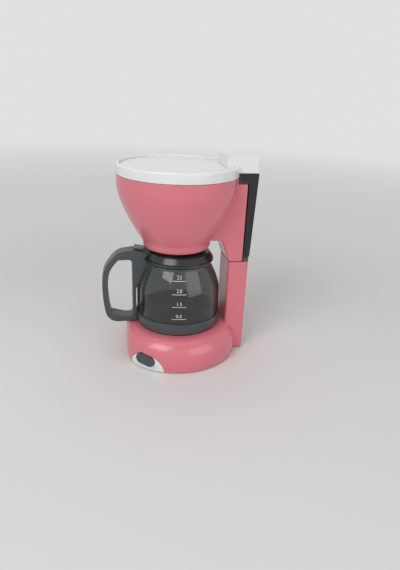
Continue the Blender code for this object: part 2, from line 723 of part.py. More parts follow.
def make_screw(name, x, y, low_z, head_height, length):
    """A pan-head screw that points up."""
    tip = low_z + head_height + length
    profile = [(0.0, tip), (SCREW_SHANK_RADIUS / 2, tip), (SCREW_SHANK_RADIUS, tip - SCREW_SHANK_RADIUS),
               (SCREW_SHANK_RADIUS, low_z + head_height), (SCREW_HEAD_RADIUS, low_z + head_height),
               (SCREW_HEAD_RADIUS, low_z + head_height / 2), (SCREW_HEAD_RADIUS * 0.8, low_z), (0.0, low_z)]
    screw = turned(name, profile, 14)
    screw.data.transform(Matrix.Translation((x, y, 0)))
    return part(screw, name, STEEL_PLATE)


def make_cells():
    for number, way in ((1, 1), (2, -1)):
        x = BOX_X - way * CELL_PITCH / 2
        total = CELL_BODY + CELL_NUB
        nub_end = BOX_Y + way * (BOX_HALF_LENGTH - GAP * 2 - CONTACT_THICKNESS)
        profile = [(0.0, total), (CELL_NUB_RADIUS, total), (CELL_NUB_RADIUS, CELL_BODY),
                   (CELL_RADIUS, CELL_BODY), (CELL_RADIUS, 0.0), (0.0, 0.0)]
        cell = turned(f"battery_{number}", profile, SMALL_SEGMENTS)
        turn = Matrix.Rotation(math.radians(-90 * way), 4, "X")
        cell.data.transform(Matrix.Translation((x, nub_end - way * total, CELL_Z)) @ turn)
        part(cell, f"battery_{number}", CELL_SLEEVE)
        spring_start = nub_end - way * (total + GAP)
        spring_end = BOX_Y - way * (BOX_HALF_LENGTH - GAP * 2 - CONTACT_THICKNESS)
        make_spring(number, x, spring_start, spring_end)


def make_spring(number, x, start_y, end_y):
    """A contact spring: one unbroken coil between a cell and its contact."""
    count = SPRING_TURNS * SPRING_POINTS
    way = math.copysign(1, end_y - start_y)
    pitch_room = abs(end_y - start_y) - SPRING_WIRE * 2
    points = []
    for step in range(count + 1):
        angle = FULL_TURN * step / SPRING_POINTS
        y = start_y + way * (SPRING_WIRE + pitch_room * step / count)
        points.append((x + SPRING_RADIUS * math.cos(angle), y, CELL_Z + SPRING_RADIUS * math.sin(angle)))
    part(tube(f"contact_spring_{number}", points, SPRING_WIRE, 1), f"contact_spring_{number}", STEEL_PLATE)


def make_contacts():
    low_y = BOX_Y - BOX_HALF_LENGTH + GAP
    inset = GAP * 4
    bridge = box("contact_bridge", (BOX_X - BOX_HALF_WIDTH + inset, low_y, CONTACT_LOW_Z),
                 (BOX_X + BOX_HALF_WIDTH - inset, low_y + CONTACT_THICKNESS, CONTACT_HIGH_Z))
    part(bridge, "contact_bridge", STEEL_PLATE)
    high_y = BOX_Y + BOX_HALF_LENGTH - GAP
    for name, side in (("contact_plus", -1), ("contact_minus", 1)):
        middle = BOX_X + side * CELL_PITCH / 2
        reach = CELL_PITCH / 2 - inset
        strip = box(name, (middle - reach, high_y - CONTACT_THICKNESS, CONTACT_LOW_Z),
                    (middle + reach, high_y, CONTACT_HIGH_Z))
        part(strip, name, STEEL_PLATE)


BUTTON_BACK = SWITCH_RADIUS - BUTTON_DEPTH
STEM_END = BUTTON_BACK - STEM_LENGTH
SWITCH_BODY_Z = BUTTON_Z
SWITCH_BODY_REACH = STEM_END - BUTTON_TRAVEL - GAP * 2


def make_switch():
    panel = base_solid("switch_panel", -PANEL_PROUD, BASE_TOP_Z + PANEL_PROUD, COVER_LOW_Z)
    combine(panel, through_wall("panel_shape", half_moon(0.0)), "INTERSECT")
    cut(panel, base_solid("panel_inner", PANEL_THICKNESS, BASE_TOP_Z - PANEL_THICKNESS,
                          BASE_FLOOR_Z - OVERRUN))
    cut(panel, through_wall("button_hole", button_hole(), BUTTON_Z, BUTTON_TILT))
    part(panel, "switch_panel", WHITE_ABS)

    cap = base_solid("switch_button", -BUTTON_PROUD, BASE_TOP_Z + BUTTON_PROUD)
    shape = plate("button_shape", [stadium(BUTTON_LENGTH, BUTTON_WIDTH)], BUTTON_PROUD * 2 + BUTTON_DEPTH,
                  switch_frame(BUTTON_Z, BUTTON_BACK + BUTTON_PROUD + BUTTON_DEPTH / 2, BUTTON_TILT))
    combine(cap, shape, "INTERSECT")
    flange_size = (BUTTON_LENGTH + BUTTON_FLANGE * 2, BUTTON_WIDTH + BUTTON_FLANGE * 2)
    flange = plate("button_flange", [stadium(*flange_size)], BUTTON_FLANGE_THICKNESS,
                   switch_frame(BUTTON_Z, BUTTON_BACK + BUTTON_FLANGE_THICKNESS / 2, BUTTON_TILT))
    side = STEM_SIZE / 2
    stem = box("button_stem", (-side, -side, -STEM_LENGTH), (side, side, 0))
    stem.data.transform(switch_frame(BUTTON_Z, BUTTON_BACK + BUTTON_FLANGE_THICKNESS / 2))
    join(cap, flange, stem)
    part(cap, "switch_button", GRAY_ABS)

    length, depth, height = SWITCH_LENGTH, SWITCH_DEPTH, SWITCH_HEIGHT
    body = box("switch_unit", (-length / 2, -height / 2, -depth / 2), (length / 2, height / 2, depth / 2))
    body.data.transform(switch_frame(SWITCH_BODY_Z, SWITCH_BODY_REACH))
    slot = STEM_SIZE / 2 + GAP
    socket = box("switch_socket", (-slot, -slot, -depth / 2 + SWITCH_WALL), (slot, slot, depth))
    socket.data.transform(switch_frame(SWITCH_BODY_Z, SWITCH_BODY_REACH))
    cut(body, socket)
    part(body, "switch_unit", BLACK_ABS)


def make_pump():
    front = MOTOR_START_Y + MOTOR_LENGTH
    motor = rod("pump_motor", (MOTOR_X, MOTOR_START_Y, MOTOR_Z), (MOTOR_X, front, MOTOR_Z), MOTOR_RADIUS, 28)
    cut(motor, rod("shaft_bore", (MOTOR_X, front - SHAFT_SUNK - GAP, MOTOR_Z),
                   (MOTOR_X, front + OVERRUN, MOTOR_Z), SHAFT_RADIUS + GAP))
    part(motor, "pump_motor", STEEL_PLATE)

    start = front + GAP
    end = start + PUMP_LENGTH
    head = rod("pump_head", (MOTOR_X, start, MOTOR_Z), (MOTOR_X, end, MOTOR_Z), PUMP_RADIUS, 28)
    for number, side in ((1, -1), (2, 1)):
        x = MOTOR_X + side * PORT_OFFSET
        join(head, rod(f"port_{number}", (x, end - PUMP_WALL / 2, MOTOR_Z), (x, end + PORT_LENGTH, MOTOR_Z),
                       PORT_RADIUS + GAP * 2))
    cut(head, rod("pump_space", (MOTOR_X, start - OVERRUN, MOTOR_Z), (MOTOR_X, end - PUMP_WALL, MOTOR_Z),
                  PUMP_RADIUS - PUMP_WALL, 28))
    part(head, "pump_head", BLACK_ABS)

    shaft_end = front + SHAFT_REACH
    shaft = rod("motor_shaft", (MOTOR_X, front - SHAFT_SUNK, MOTOR_Z), (MOTOR_X, shaft_end, MOTOR_Z),
                SHAFT_RADIUS, 12)
    part(shaft, "motor_shaft", STEEL_PLATE)
    vane_low = shaft_end - VANE_WIDTH
    wheel = rod("pump_impeller", (MOTOR_X, vane_low, MOTOR_Z), (MOTOR_X, shaft_end + GAP * 3, MOTOR_Z),
                HUB_RADIUS, 16)
    for number in range(VANES // 2):
        vane = box(f"vane_{number + 1}", (-VANE_REACH, vane_low + GAP, -VANE_THICKNESS / 2),
                   (VANE_REACH, shaft_end, VANE_THICKNESS / 2))
        turn = Matrix.Rotation(FULL_TURN * number / VANES, 4, "Y")
        vane.data.transform(Matrix.Translation((MOTOR_X, 0, MOTOR_Z)) @ turn)
        join(wheel, vane)
    cut(wheel, rod("shaft_hole", (MOTOR_X, vane_low - OVERRUN, MOTOR_Z), (MOTOR_X, shaft_end + GAP, MOTOR_Z),
                   SHAFT_RADIUS + GAP, 12))
    part(wheel, "pump_impeller", WHITE_ABS)


def make_hoses():
    port_y = MOTOR_START_Y + MOTOR_LENGTH + PUMP_LENGTH + PORT_LENGTH + GAP * 2
    nipple_end = COLUMN_TOP_Z + GAP - NIPPLE_LENGTH - GAP
    straight = PORT_LENGTH * 2
    feed_x = MOTOR_X - PORT_OFFSET
    feed_start = [(feed_x, port_y, MOTOR_Z), (feed_x, port_y + straight, MOTOR_Z)]
    feed = feed_start + list(FEED_ROUTE) + [(0, NIPPLE_Y, nipple_end)]
    part(tube("feed_hose", smooth_route(feed, 2), HOSE_RADIUS, 1), "feed_hose", HOSE)
    spout_top = BOWL_BOTTOM_Z + BOWL_FLOOR + GAP * 2 + SPOUT_FLANGE * 2
    rise_x = MOTOR_X + PORT_OFFSET
    rise_start = [(rise_x, port_y, MOTOR_Z), (rise_x, port_y + straight, MOTOR_Z)]
    rise = rise_start + list(RISE_ROUTE) + [(0, AXIS_Y, spout_top + HOSE_RADIUS), (0, AXIS_Y, spout_top)]
    part(tube("rise_hose", smooth_route(rise, 2), HOSE_RADIUS, 1), "rise_hose", HOSE)


def make_wires():
    back = SWITCH_BODY_REACH - SWITCH_DEPTH / 2 - WIRE_RADIUS - GAP
    unit = Vector((0, AXIS_Y, SWITCH_BODY_Z)) + SWITCH_OUT * back
    box_end = BOX_Y + BOX_HALF_LENGTH + BOX_WALL + WIRE_RADIUS + GAP
    motor_y = MOTOR_START_Y - WIRE_RADIUS - GAP
    quarter = MOTOR_RADIUS / 4
    spread = SWITCH_ALONG * SWITCH_LENGTH / 4
    routes = {
        "wire_red": (WIRE_RED, (BOX_X, box_end, MOTOR_Z), RED_ROUTE, unit - spread),
        "wire_blue": (WIRE_BLUE, unit + spread, BLUE_ROUTE, (MOTOR_X + quarter, motor_y, MOTOR_Z)),
        "wire_black": (WIRE_BLACK, (BOX_X + CELL_PITCH / 3, box_end, MOTOR_Z), BLACK_ROUTE,
                       (MOTOR_X - quarter, motor_y, MOTOR_Z)),
    }
    for name, (look, start, middle, end) in routes.items():
        route = smooth_route([start, *middle, end])
        part(tube(name, route, WIRE_RADIUS, 1), name, material(name, look))


def bowl_profile(inset, top_z, bottom_z, waist_z):
    """Half section of the bowl: a full shoulder, a swelling side and a short straight collar."""
    rise = BOWL_SHOULDER_Z - waist_z
    spread = BOWL_RADIUS - BOWL_WAIST_RADIUS
    points = [(0.0, top_z), (BOWL_RADIUS - inset, top_z), (BOWL_RADIUS - inset, BOWL_SHOULDER_Z)]
    steps = ARC_STEPS + 1
    for step in range(1, steps + 1):
        share = step / steps
        drop = rise * share
        points.append((BOWL_RADIUS - inset - spread * share ** 1.45, BOWL_SHOULDER_Z - drop))
    low_radius = BOWL_BOTTOM_RADIUS - inset
    points.append((low_radius + BOWL_ROUND / 2, bottom_z + BOWL_ROUND))
    points.append((low_radius, bottom_z + BOWL_ROUND / 4))
    points.append((low_radius - BOWL_ROUND, bottom_z))
    points.append((0.0, bottom_z))
    return points


def tower_section(inset, low_z, top_z):
    """Side outline of the upper tower with its sloping neck, as (y, z) points."""
    return [(COLUMN_FRONT_Y + inset, low_z), (TOWER_REAR_Y - inset, low_z), (TOWER_REAR_Y - inset, top_z),
            (TOWER_ROOT_Y, top_z), (TOWER_ROOT_Y, TOWER_NECK_Z + inset),
            (TOWER_NECK_Y + inset / 2, TOWER_NECK_Z + inset)]


# A frame that stands a (y, z) outline upright across X
SIDE_FRAME = Matrix(((0, 0, 1, 0), (1, 0, 0, 0), (0, 1, 0, 0), (0, 0, 0, 1)))


def side_slab(name, outline, half_width):
    return plate(name, [outline], half_width * 2, SIDE_FRAME)


def make_upper():
    seam_z = COLUMN_TOP_Z + GAP
    body = turned("upper_housing", bowl_profile(0.0, BOWL_TOP_Z, BOWL_BOTTOM_Z, BOWL_WAIST_Z))
    join(body, side_slab("tower_outer", tower_section(0.0, seam_z, TOWER_TOP_Z), TOWER_HALF_WIDTH))
    spigot_low = seam_z - SPIGOT_DEPTH
    join(body, box("spigot_outer", (-SPIGOT_HALF_WIDTH, SPIGOT_FRONT_Y, spigot_low),
                   (SPIGOT_HALF_WIDTH, SPIGOT_REAR_Y, seam_z + TOWER_WALL)))
    duct = side_slab("tower_duct", tower_section(TOWER_WALL, seam_z + TOWER_WALL, TOWER_TOP_Z - TOWER_WALL),
                     TOWER_HALF_WIDTH - TOWER_WALL)
    cut(duct, turned("duct_limit", bowl_profile(0.0, BOWL_TOP_Z + OVERRUN, BOWL_BOTTOM_Z, BOWL_WAIST_Z)))
    cut(body, duct)
    cut(body, box("spigot_bore", (-SPIGOT_HALF_WIDTH + SPIGOT_WALL, SPIGOT_FRONT_Y + SPIGOT_WALL,
                                  spigot_low - OVERRUN),
                  (SPIGOT_HALF_WIDTH - SPIGOT_WALL, SPIGOT_REAR_Y - SPIGOT_WALL, seam_z + TOWER_WALL * 2)))
    cut(body, turned("bowl_inner", bowl_profile(BOWL_WALL, BOWL_TOP_Z + OVERRUN, BOWL_BOTTOM_Z + BOWL_FLOOR,
                                                BOWL_WAIST_Z)))
    cut(body, rod("spout_hole", (0, AXIS_Y, BOWL_BOTTOM_Z - OVERRUN),
                  (0, AXIS_Y, BOWL_BOTTOM_Z + BOWL_FLOOR + OVERRUN), SPOUT_RADIUS - SPOUT_FLANGE + GAP))
    cut(body, rod("hose_hole", RISE_ROUTE[WALL_PASS], RISE_ROUTE[WALL_PASS + 2], HOSE_RADIUS + GAP * 3))
    return part(body, "upper_housing", PINK_ABS)


def make_spout():
    """The drip spout in the bowl's floor; its flange lies on the floor."""
    floor_z = BOWL_BOTTOM_Z + BOWL_FLOOR
    stem = SPOUT_RADIUS - SPOUT_FLANGE
    top = floor_z + GAP + SPOUT_FLANGE * 2
    profile = [(SPOUT_BORE, top), (SPOUT_RADIUS, top), (SPOUT_RADIUS, floor_z + GAP), (stem, floor_z + GAP),
               (stem, BOWL_BOTTOM_Z - SPOUT_DROP), (SPOUT_BORE, BOWL_BOTTOM_Z - SPOUT_DROP)]
    return part(turned("drip_spout", profile, SMALL_SEGMENTS, AXIS_Y, closed=True), "drip_spout", BLACK_ABS)


def tank_section(inset, low_z, top_z, shoulder_z):
    """Side outline of the tank: a tall flat box with a shoulder over the tower."""
    front = TOWER_REAR_Y + GAP * 2 + inset
    slope = (TANK_TOP_REAR_Y - TANK_BOTTOM_REAR_Y) / (TANK_TOP_Z - COLUMN_TOP_Z)
    low_rear = TANK_BOTTOM_REAR_Y + slope * (low_z - COLUMN_TOP_Z) - inset
    top_rear = TANK_BOTTOM_REAR_Y + slope * (top_z - COLUMN_TOP_Z) - inset
    return [(front, low_z), (low_rear, low_z), (top_rear, top_z), (TANK_SHOULDER_FRONT_Y, top_z),
            (TANK_SHOULDER_FRONT_Y, shoulder_z), (front, shoulder_z)]


def bowl_clearance(name, extra):
    """A tall cylinder round the bowl, which keeps the tank's shoulder off it."""
    return rod(name, (0, 0, BOWL_WAIST_Z), (0, 0, TAIL_TOP_Z + OVERRUN), BOWL_RADIUS + extra, SEGMENTS * 2)


def make_tank():
    low_z = COLUMN_TOP_Z + GAP + TANK_FOOT_HEIGHT + GAP
    tank = side_slab("water_tank", tank_section(0.0, low_z, TANK_TOP_Z, TANK_SHOULDER_Z), COLUMN_HALF_WIDTH)
    cut(tank, bowl_clearance("tank_front_cut", GAP))
    space = side_slab("tank_space", tank_section(TANK_WALL, low_z + TANK_WALL, TANK_TOP_Z + OVERRUN,
                                                 TANK_SHOULDER_Z + TANK_WALL), COLUMN_HALF_WIDTH - TANK_WALL)
    cut(space, bowl_clearance("tank_space_cut", GAP + TANK_WALL))
    cut(tank, space)
    cut(tank, rod("tank_outlet", (0, NIPPLE_Y, low_z - OVERRUN), (0, NIPPLE_Y, low_z + OVERRUN / 2),
                  NIPPLE_RADIUS * 0.6))
    part(tank, "water_tank", SMOKE_CLEAR)

    front = TOWER_REAR_Y + GAP * 2
    foot_low = COLUMN_TOP_Z + GAP
    foot = box("tank_foot", (-COLUMN_HALF_WIDTH + GAP, front, foot_low),
               (COLUMN_HALF_WIDTH - GAP, TANK_BOTTOM_REAR_Y - GAP, foot_low + TANK_FOOT_HEIGHT))
    join(foot, rod("nipple", (0, NIPPLE_Y, foot_low - NIPPLE_LENGTH), (0, NIPPLE_Y, foot_low + GAP),
                   NIPPLE_RADIUS))
    cut(foot, rod("nipple_bore", (0, NIPPLE_Y, foot_low - NIPPLE_LENGTH - OVERRUN),
                  (0, NIPPLE_Y, foot_low + TANK_FOOT_HEIGHT + OVERRUN), NIPPLE_RADIUS * 0.6, 12))
    part(foot, "tank_foot", GRAY_ABS)


LID_FLOOR_Z = LID_TOP_Z - LID_RECESS - LID_DISC_THICKNESS
LID_LIP_RADIUS = BOWL_RADIUS - BOWL_WALL - GAP


def make_lid():
    """A keyhole-shaped lid: a ring with a ledge for the disc, and a tail over the tank."""
    profile = [(LID_RADIUS - LID_ROUND, LID_TOP_Z), (LID_RADIUS, LID_TOP_Z - LID_ROUND),
               (LID_RADIUS, LID_RIM_Z), (LID_LIP_RADIUS, LID_RIM_Z),
               (LID_LIP_RADIUS, LID_RIM_Z - LID_LIP_DEPTH),
               (LID_LIP_RADIUS - LID_WALL, LID_RIM_Z - LID_LIP_DEPTH),
               (LID_LIP_RADIUS - LID_WALL, LID_FLOOR_Z - LID_WALL),
               (LID_RADIUS - LID_RING - LID_LEDGE, LID_FLOOR_Z - LID_WALL),
               (LID_RADIUS - LID_RING - LID_LEDGE, LID_FLOOR_Z), (LID_RADIUS - LID_RING, LID_FLOOR_Z),
               (LID_RADIUS - LID_RING, LID_TOP_Z)]
    lid = turned("lid_frame", profile, closed=True)
    tail = upright("tail_outer", block_outline(COLUMN_HALF_WIDTH, TAIL_FRONT_Y, TAIL_REAR_Y, TAIL_ROUND),
                   LID_RIM_Z - TAIL_ROUND, TAIL_TOP_Z)
    round_edges(tail, TAIL_ROUND * 0.9, 2, 60)
    reach = COLUMN_HALF_WIDTH + OVERRUN
    cut(tail, box("tail_underside", (-reach, TAIL_FRONT_Y - OVERRUN, LID_RIM_Z - OVERRUN),
                  (reach, TAIL_REAR_Y + OVERRUN, TAIL_BOTTOM_Z)))
    join(lid, tail)
    cut(lid, box("tail_space", (-COLUMN_HALF_WIDTH + LID_WALL, TAIL_FRONT_Y + LID_WALL, LID_RIM_Z),
                 (COLUMN_HALF_WIDTH - LID_WALL, TAIL_REAR_Y - LID_WALL, TAIL_TOP_Z - LID_WALL)))
    part(lid, "lid_frame", WHITE_ABS)

    radius = LID_RADIUS - LID_RING - GAP
    top = LID_TOP_Z - LID_RECESS
    disc_profile = [(0.0, top), (radius - LID_RECESS / 2, top), (radius, top - LID_RECESS / 2),
                    (radius, LID_FLOOR_Z + GAP), (0.0, LID_FLOOR_Z + GAP)]
    disc = turned("lid_disc", disc_profile)
    cut(disc, box("disc_tail_cut", (-COLUMN_HALF_WIDTH - GAP, TAIL_FRONT_Y - GAP, LID_FLOOR_Z - OVERRUN),
                  (COLUMN_HALF_WIDTH + GAP, TAIL_REAR_Y, TAIL_TOP_Z)))
    part(disc, "lid_disc", WHITE_ABS)


def jug_shoulder(grow):
    """The jug's side from the neck down to the full width, moved out by grow."""
    points = []
    for step in range(ARC_STEPS, -1, -1):
        share = step / ARC_STEPS
        radius = JUG_RADIUS - (JUG_RADIUS - JUG_NECK_RADIUS) * share ** 1.4
        points.append((radius + grow, JUG_SHOULDER_Z + (JUG_NECK_Z - JUG_SHOULDER_Z) * share))
    return points


def jug_profile():
    """Half section of the jug: up the inside from the middle of the floor, then down the outside."""
    seat_radius = BAND_RADIUS - BAND_WALL - GAP
    step_z = BAND_TOP_Z + GAP
    floor_z = BAND_BOTTOM_Z + BAND_FLOOR + GAP
    inside = [(JUG_LIP_RADIUS - JUG_WALL * 2, JUG_TOP_Z), (JUG_NECK_RADIUS - JUG_WALL, JUG_LIP_Z - JUG_WALL)]
    inside += jug_shoulder(-JUG_WALL)
    inside += [(JUG_RADIUS - JUG_WALL, step_z + JUG_WALL), (seat_radius - JUG_WALL, step_z),
               (seat_radius - JUG_WALL, floor_z + JUG_FLOOR + JUG_WALL),
               (seat_radius - JUG_WALL * 2, floor_z + JUG_FLOOR), (0.0, floor_z + JUG_FLOOR)]
    outside = [(JUG_LIP_RADIUS - JUG_WALL / 2, JUG_TOP_Z), (JUG_LIP_RADIUS, JUG_TOP_Z - JUG_WALL / 3),
               (JUG_LIP_RADIUS, JUG_LIP_Z), (JUG_NECK_RADIUS + JUG_WALL / 2, JUG_LIP_Z - JUG_WALL)]
    outside += jug_shoulder(0.0)
    outside += [(JUG_RADIUS, step_z), (seat_radius, step_z), (seat_radius, floor_z + JUG_WALL / 2),
                (seat_radius - JUG_WALL / 2, floor_z), (0.0, floor_z)]
    return inside[::-1] + outside


COLLAR_Z = JUG_TOP_Z + GAP


def collar_radius(height):
    share = (height - COLLAR_Z) / COLLAR_HEIGHT
    return COLLAR_RADIUS + (COLLAR_TOP_RADIUS - COLLAR_RADIUS) * share


def make_jug():
    part(turned("jug_glass", jug_profile(), axis_y=AXIS_Y), "jug_glass", SMOKE_CLEAR)

    inner = BAND_RADIUS - BAND_WALL
    edge = BAND_WALL / 3
    band = [(BAND_RADIUS - edge, BAND_TOP_Z), (BAND_RADIUS, BAND_TOP_Z - edge),
            (BAND_RADIUS, BAND_BOTTOM_Z + edge), (BAND_RADIUS - edge, BAND_BOTTOM_Z),
            (inner - BAND_SHELF, BAND_BOTTOM_Z), (inner - BAND_SHELF, BAND_BOTTOM_Z + BAND_FLOOR),
            (inner, BAND_BOTTOM_Z + BAND_FLOOR), (inner, BAND_TOP_Z)]
    part(turned("jug_band", band, axis_y=AXIS_Y, closed=True), "jug_band", GRAY_ABS)

    skirt_out = JUG_NECK_RADIUS - JUG_WALL - GAP * 2
    skirt_in = skirt_out - COLLAR_SKIRT_WALL
    top = COLLAR_Z + COLLAR_HEIGHT
    collar = [(COLLAR_TOP_RADIUS - COLLAR_STEP / 3, top), (COLLAR_TOP_RADIUS, top - COLLAR_STEP / 3),
              (collar_radius(COLLAR_Z + COLLAR_STEP / 4), COLLAR_Z + COLLAR_STEP / 4),
              (COLLAR_RADIUS - COLLAR_STEP / 4, COLLAR_Z), (skirt_out, COLLAR_Z),
              (skirt_out, COLLAR_Z - COLLAR_SKIRT),
              (skirt_in, COLLAR_Z - COLLAR_SKIRT), (skirt_in, top - COLLAR_STEP * 2),
              (COLLAR_HOLE_RADIUS, top - COLLAR_STEP * 2), (COLLAR_HOLE_RADIUS, top - COLLAR_STEP),
              (COLLAR_TOP_RADIUS - COLLAR_STEP, top - COLLAR_STEP), (COLLAR_TOP_RADIUS - COLLAR_STEP, top)]
    part(turned("jug_collar", collar, axis_y=AXIS_Y, closed=True), "jug_collar", BLACK_ABS)

    seat = top - COLLAR_STEP + GAP
    radius = COLLAR_TOP_RADIUS - COLLAR_STEP - GAP
    crown = top + JUG_LID_RISE
    disc = [(JUG_LID_HOLE, crown - JUG_LID_RISE * 0.7), (JUG_LID_HOLE * 2, crown - JUG_LID_RISE / 4),
            (radius * 0.6, crown), (radius * 0.9, crown - JUG_LID_RISE / 4), (radius, top),
            (radius, seat), (JUG_LID_HOLE, seat)]
    lid = turned("jug_lid", disc, axis_y=AXIS_Y, closed=True)
    rear = AXIS_Y - radius
    low = top + GAP
    thumb = [(rear + THUMB_LENGTH / 3, low), (rear + THUMB_LENGTH / 3, low + THUMB_THICKNESS * 0.7),
             (rear - THUMB_LENGTH / 3, low + THUMB_THICKNESS * 1.2),
             (rear - THUMB_LENGTH * 2 / 3, low + THUMB_THICKNESS * 1.8),
             (rear - THUMB_LENGTH * 0.7, low + THUMB_THICKNESS * 1.2),
             (rear - THUMB_LENGTH / 3, low)]
    tongue = side_slab("thumb", thumb, THUMB_HALF_WIDTH)
    join(lid, tongue)
    part(lid, "jug_lid", BLACK_ABS)
    make_handle()


def inset_curve(points, distance):
    """A flat curve moved sideways, to the left of its direction of travel."""
    moved = []
    for before, here, after in zip(points, points[1:], points[2:]):
        along = (after - before).normalized()
        moved.append(here + Vector((-along.y, along.x)) * distance)
    return moved


def make_handle():
    """A D-shaped handle: a strap along the jug, a root at the neck and a round grip."""
    strap_y = AXIS_Y - BAND_RADIUS - GAP
    hole_y = strap_y - HANDLE_STRAP
    depth = HANDLE_REACH - BAND_RADIUS - GAP
    height = HANDLE_TOP_Z - HANDLE_BOTTOM_Z
    corners = [(strap_y - depth * out, HANDLE_BOTTOM_Z + height * up, 0) for out, up in HANDLE_CURVE_SHARES]
    grip = [point.to_2d() for point in smooth_route(corners, 2)]
    bridge_z = COLLAR_Z + COLLAR_HEIGHT - COLLAR_STEP
    root = [(strap_y, HANDLE_BOTTOM_Z), (strap_y, JUG_SHOULDER_Z),
            (AXIS_Y - JUG_NECK_RADIUS, JUG_NECK_Z), (AXIS_Y - COLLAR_TOP_RADIUS, COLLAR_Z),
            (AXIS_Y - COLLAR_TOP_RADIUS, bridge_z)]
    outer = [tuple(point) for point in grip] + root
    low_z = HANDLE_BOTTOM_Z + HANDLE_THICKNESS
    high_z = bridge_z - HANDLE_THICKNESS
    hole = [tuple(point) for point in inset_curve(grip, HANDLE_THICKNESS)
            if point.x < hole_y - HANDLE_STRAP / 2 and low_z < point.y < high_z]
    hole += [(hole_y - HANDLE_STRAP / 2, low_z), (hole_y, low_z + HANDLE_STRAP / 2),
             (hole_y, high_z - HANDLE_STRAP / 2), (hole_y - HANDLE_STRAP / 2, high_z)]
    handle = plate("jug_handle", [outer, hole], HANDLE_HALF_WIDTH * 2, SIDE_FRAME)
    round_edges(handle, HANDLE_EDGE, 1, 50)
    clear = [(0.0, HANDLE_TOP_Z + OVERRUN), (COLLAR_TOP_RADIUS + GAP, HANDLE_TOP_Z + OVERRUN),
             (COLLAR_TOP_RADIUS + GAP, COLLAR_Z + COLLAR_HEIGHT), (COLLAR_RADIUS + GAP, COLLAR_Z),
             (COLLAR_RADIUS + GAP, JUG_LIP_Z - GAP),
             (JUG_NECK_RADIUS + JUG_WALL / 2 + GAP, JUG_LIP_Z - JUG_WALL)]
    clear += jug_shoulder(GAP * 1.5)
    clear += [(BAND_RADIUS + GAP, BAND_TOP_Z + GAP), (BAND_RADIUS + GAP, HANDLE_BOTTOM_Z - OVERRUN),
              (0.0, HANDLE_BOTTOM_Z - OVERRUN)]
    cut(handle, turned("handle_clear", clear, axis_y=AXIS_Y))
    part(handle, "jug_handle", GRAY_ABS)


def make_feet():
    for number, (x, y) in enumerate(foot_places(), 1):
        foot = rod(f"foot_{number}", (x, y, 0), (x, y, FOOT_HEIGHT), FOOT_RADIUS)
        part(foot, f"foot_{number}", RUBBER_PAD)


def make_screws():
    for number, (x, y) in enumerate(boss_places(), 1):
        make_screw(f"cover_screw_{number}", x, y, COVER_LOW_Z, SCREW_HEAD_HEIGHT, SCREW_LENGTH - GAP * 2)
    make_screw("door_screw", BOX_X, DOOR_SCREW_Y, COVER_LOW_Z, DOOR_HEAD_HEIGHT,
               DOOR_BOSS_TOP_Z - BOX_WALL - COVER_LOW_Z - DOOR_HEAD_HEIGHT - GAP)


make_base()
make_plate()
make_cover()
make_door()
make_cells()
make_contacts()
make_switch()
make_pump()
make_hoses()
make_wires()
make_upper()
make_spout()
make_tank()
make_lid()
make_jug()
make_feet()
make_screws()

carry("lid_lift", (0, 0, LID_RIM_Z), "lid_frame", "lid_disc")
carry("jug_pull", (0, AXIS_Y, BAND_BOTTOM_Z), "jug_glass", "jug_band", "jug_collar", "jug_lid", "jug_handle")
carry("button_press", Vector((0, AXIS_Y, BUTTON_Z)) + SWITCH_OUT * SWITCH_RADIUS, "switch_button")
carry("impeller_spin", (MOTOR_X, MOTOR_START_Y + MOTOR_LENGTH, MOTOR_Z), "motor_shaft", "pump_impeller")
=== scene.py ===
"""Toy coffee maker: the finished pieces, finishes, floor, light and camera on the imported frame."""

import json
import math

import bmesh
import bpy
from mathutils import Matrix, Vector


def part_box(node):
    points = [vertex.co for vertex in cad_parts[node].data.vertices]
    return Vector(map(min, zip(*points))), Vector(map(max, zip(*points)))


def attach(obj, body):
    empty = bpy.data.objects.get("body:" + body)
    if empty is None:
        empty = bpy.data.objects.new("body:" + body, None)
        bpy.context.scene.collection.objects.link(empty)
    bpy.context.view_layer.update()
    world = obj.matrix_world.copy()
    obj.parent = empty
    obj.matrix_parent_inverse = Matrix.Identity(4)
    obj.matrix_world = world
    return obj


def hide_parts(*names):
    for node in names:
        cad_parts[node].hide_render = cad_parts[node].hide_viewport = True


bl_info = {
    "name": "Toy Coffee Maker",
    "version": (1, 0, 0),
    "blender": (4, 5, 0),
    "location": "View3D > Sidebar > Toy Coffee Maker",
    "description": "Builds the finished pieces of a toy drip coffee maker on its packed frame",
    "category": "Object",
}

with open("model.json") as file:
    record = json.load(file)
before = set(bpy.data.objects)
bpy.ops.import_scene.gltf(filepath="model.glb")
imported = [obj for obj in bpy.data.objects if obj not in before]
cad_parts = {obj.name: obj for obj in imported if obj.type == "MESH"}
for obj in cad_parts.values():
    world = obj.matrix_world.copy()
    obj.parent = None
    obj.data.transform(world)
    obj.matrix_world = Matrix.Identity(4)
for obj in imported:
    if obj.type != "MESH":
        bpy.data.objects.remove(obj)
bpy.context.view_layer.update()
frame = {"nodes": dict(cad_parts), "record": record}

MM = 0.001
FULL_TURN = math.radians(360)
TOUCH = 1e-6                # two points closer than this are one
GAP = 0.3 * MM              # clearance between two pieces that touch
OVERRUN = 4 * MM            # how far a cutter reaches past what it cuts
FINE_ROUND = 0.3 * MM
NEAR_STRAIGHT = 1e-3        # radians; a corner closer to straight than this isn't rounded
CORNER_SHARE = 0.49         # of the shorter run beside it that a rounded corner may take up


def low(node):
    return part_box(node)[0]


def high(node):
    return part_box(node)[1]


def middle(node):
    return (low(node) + high(node)) / 2


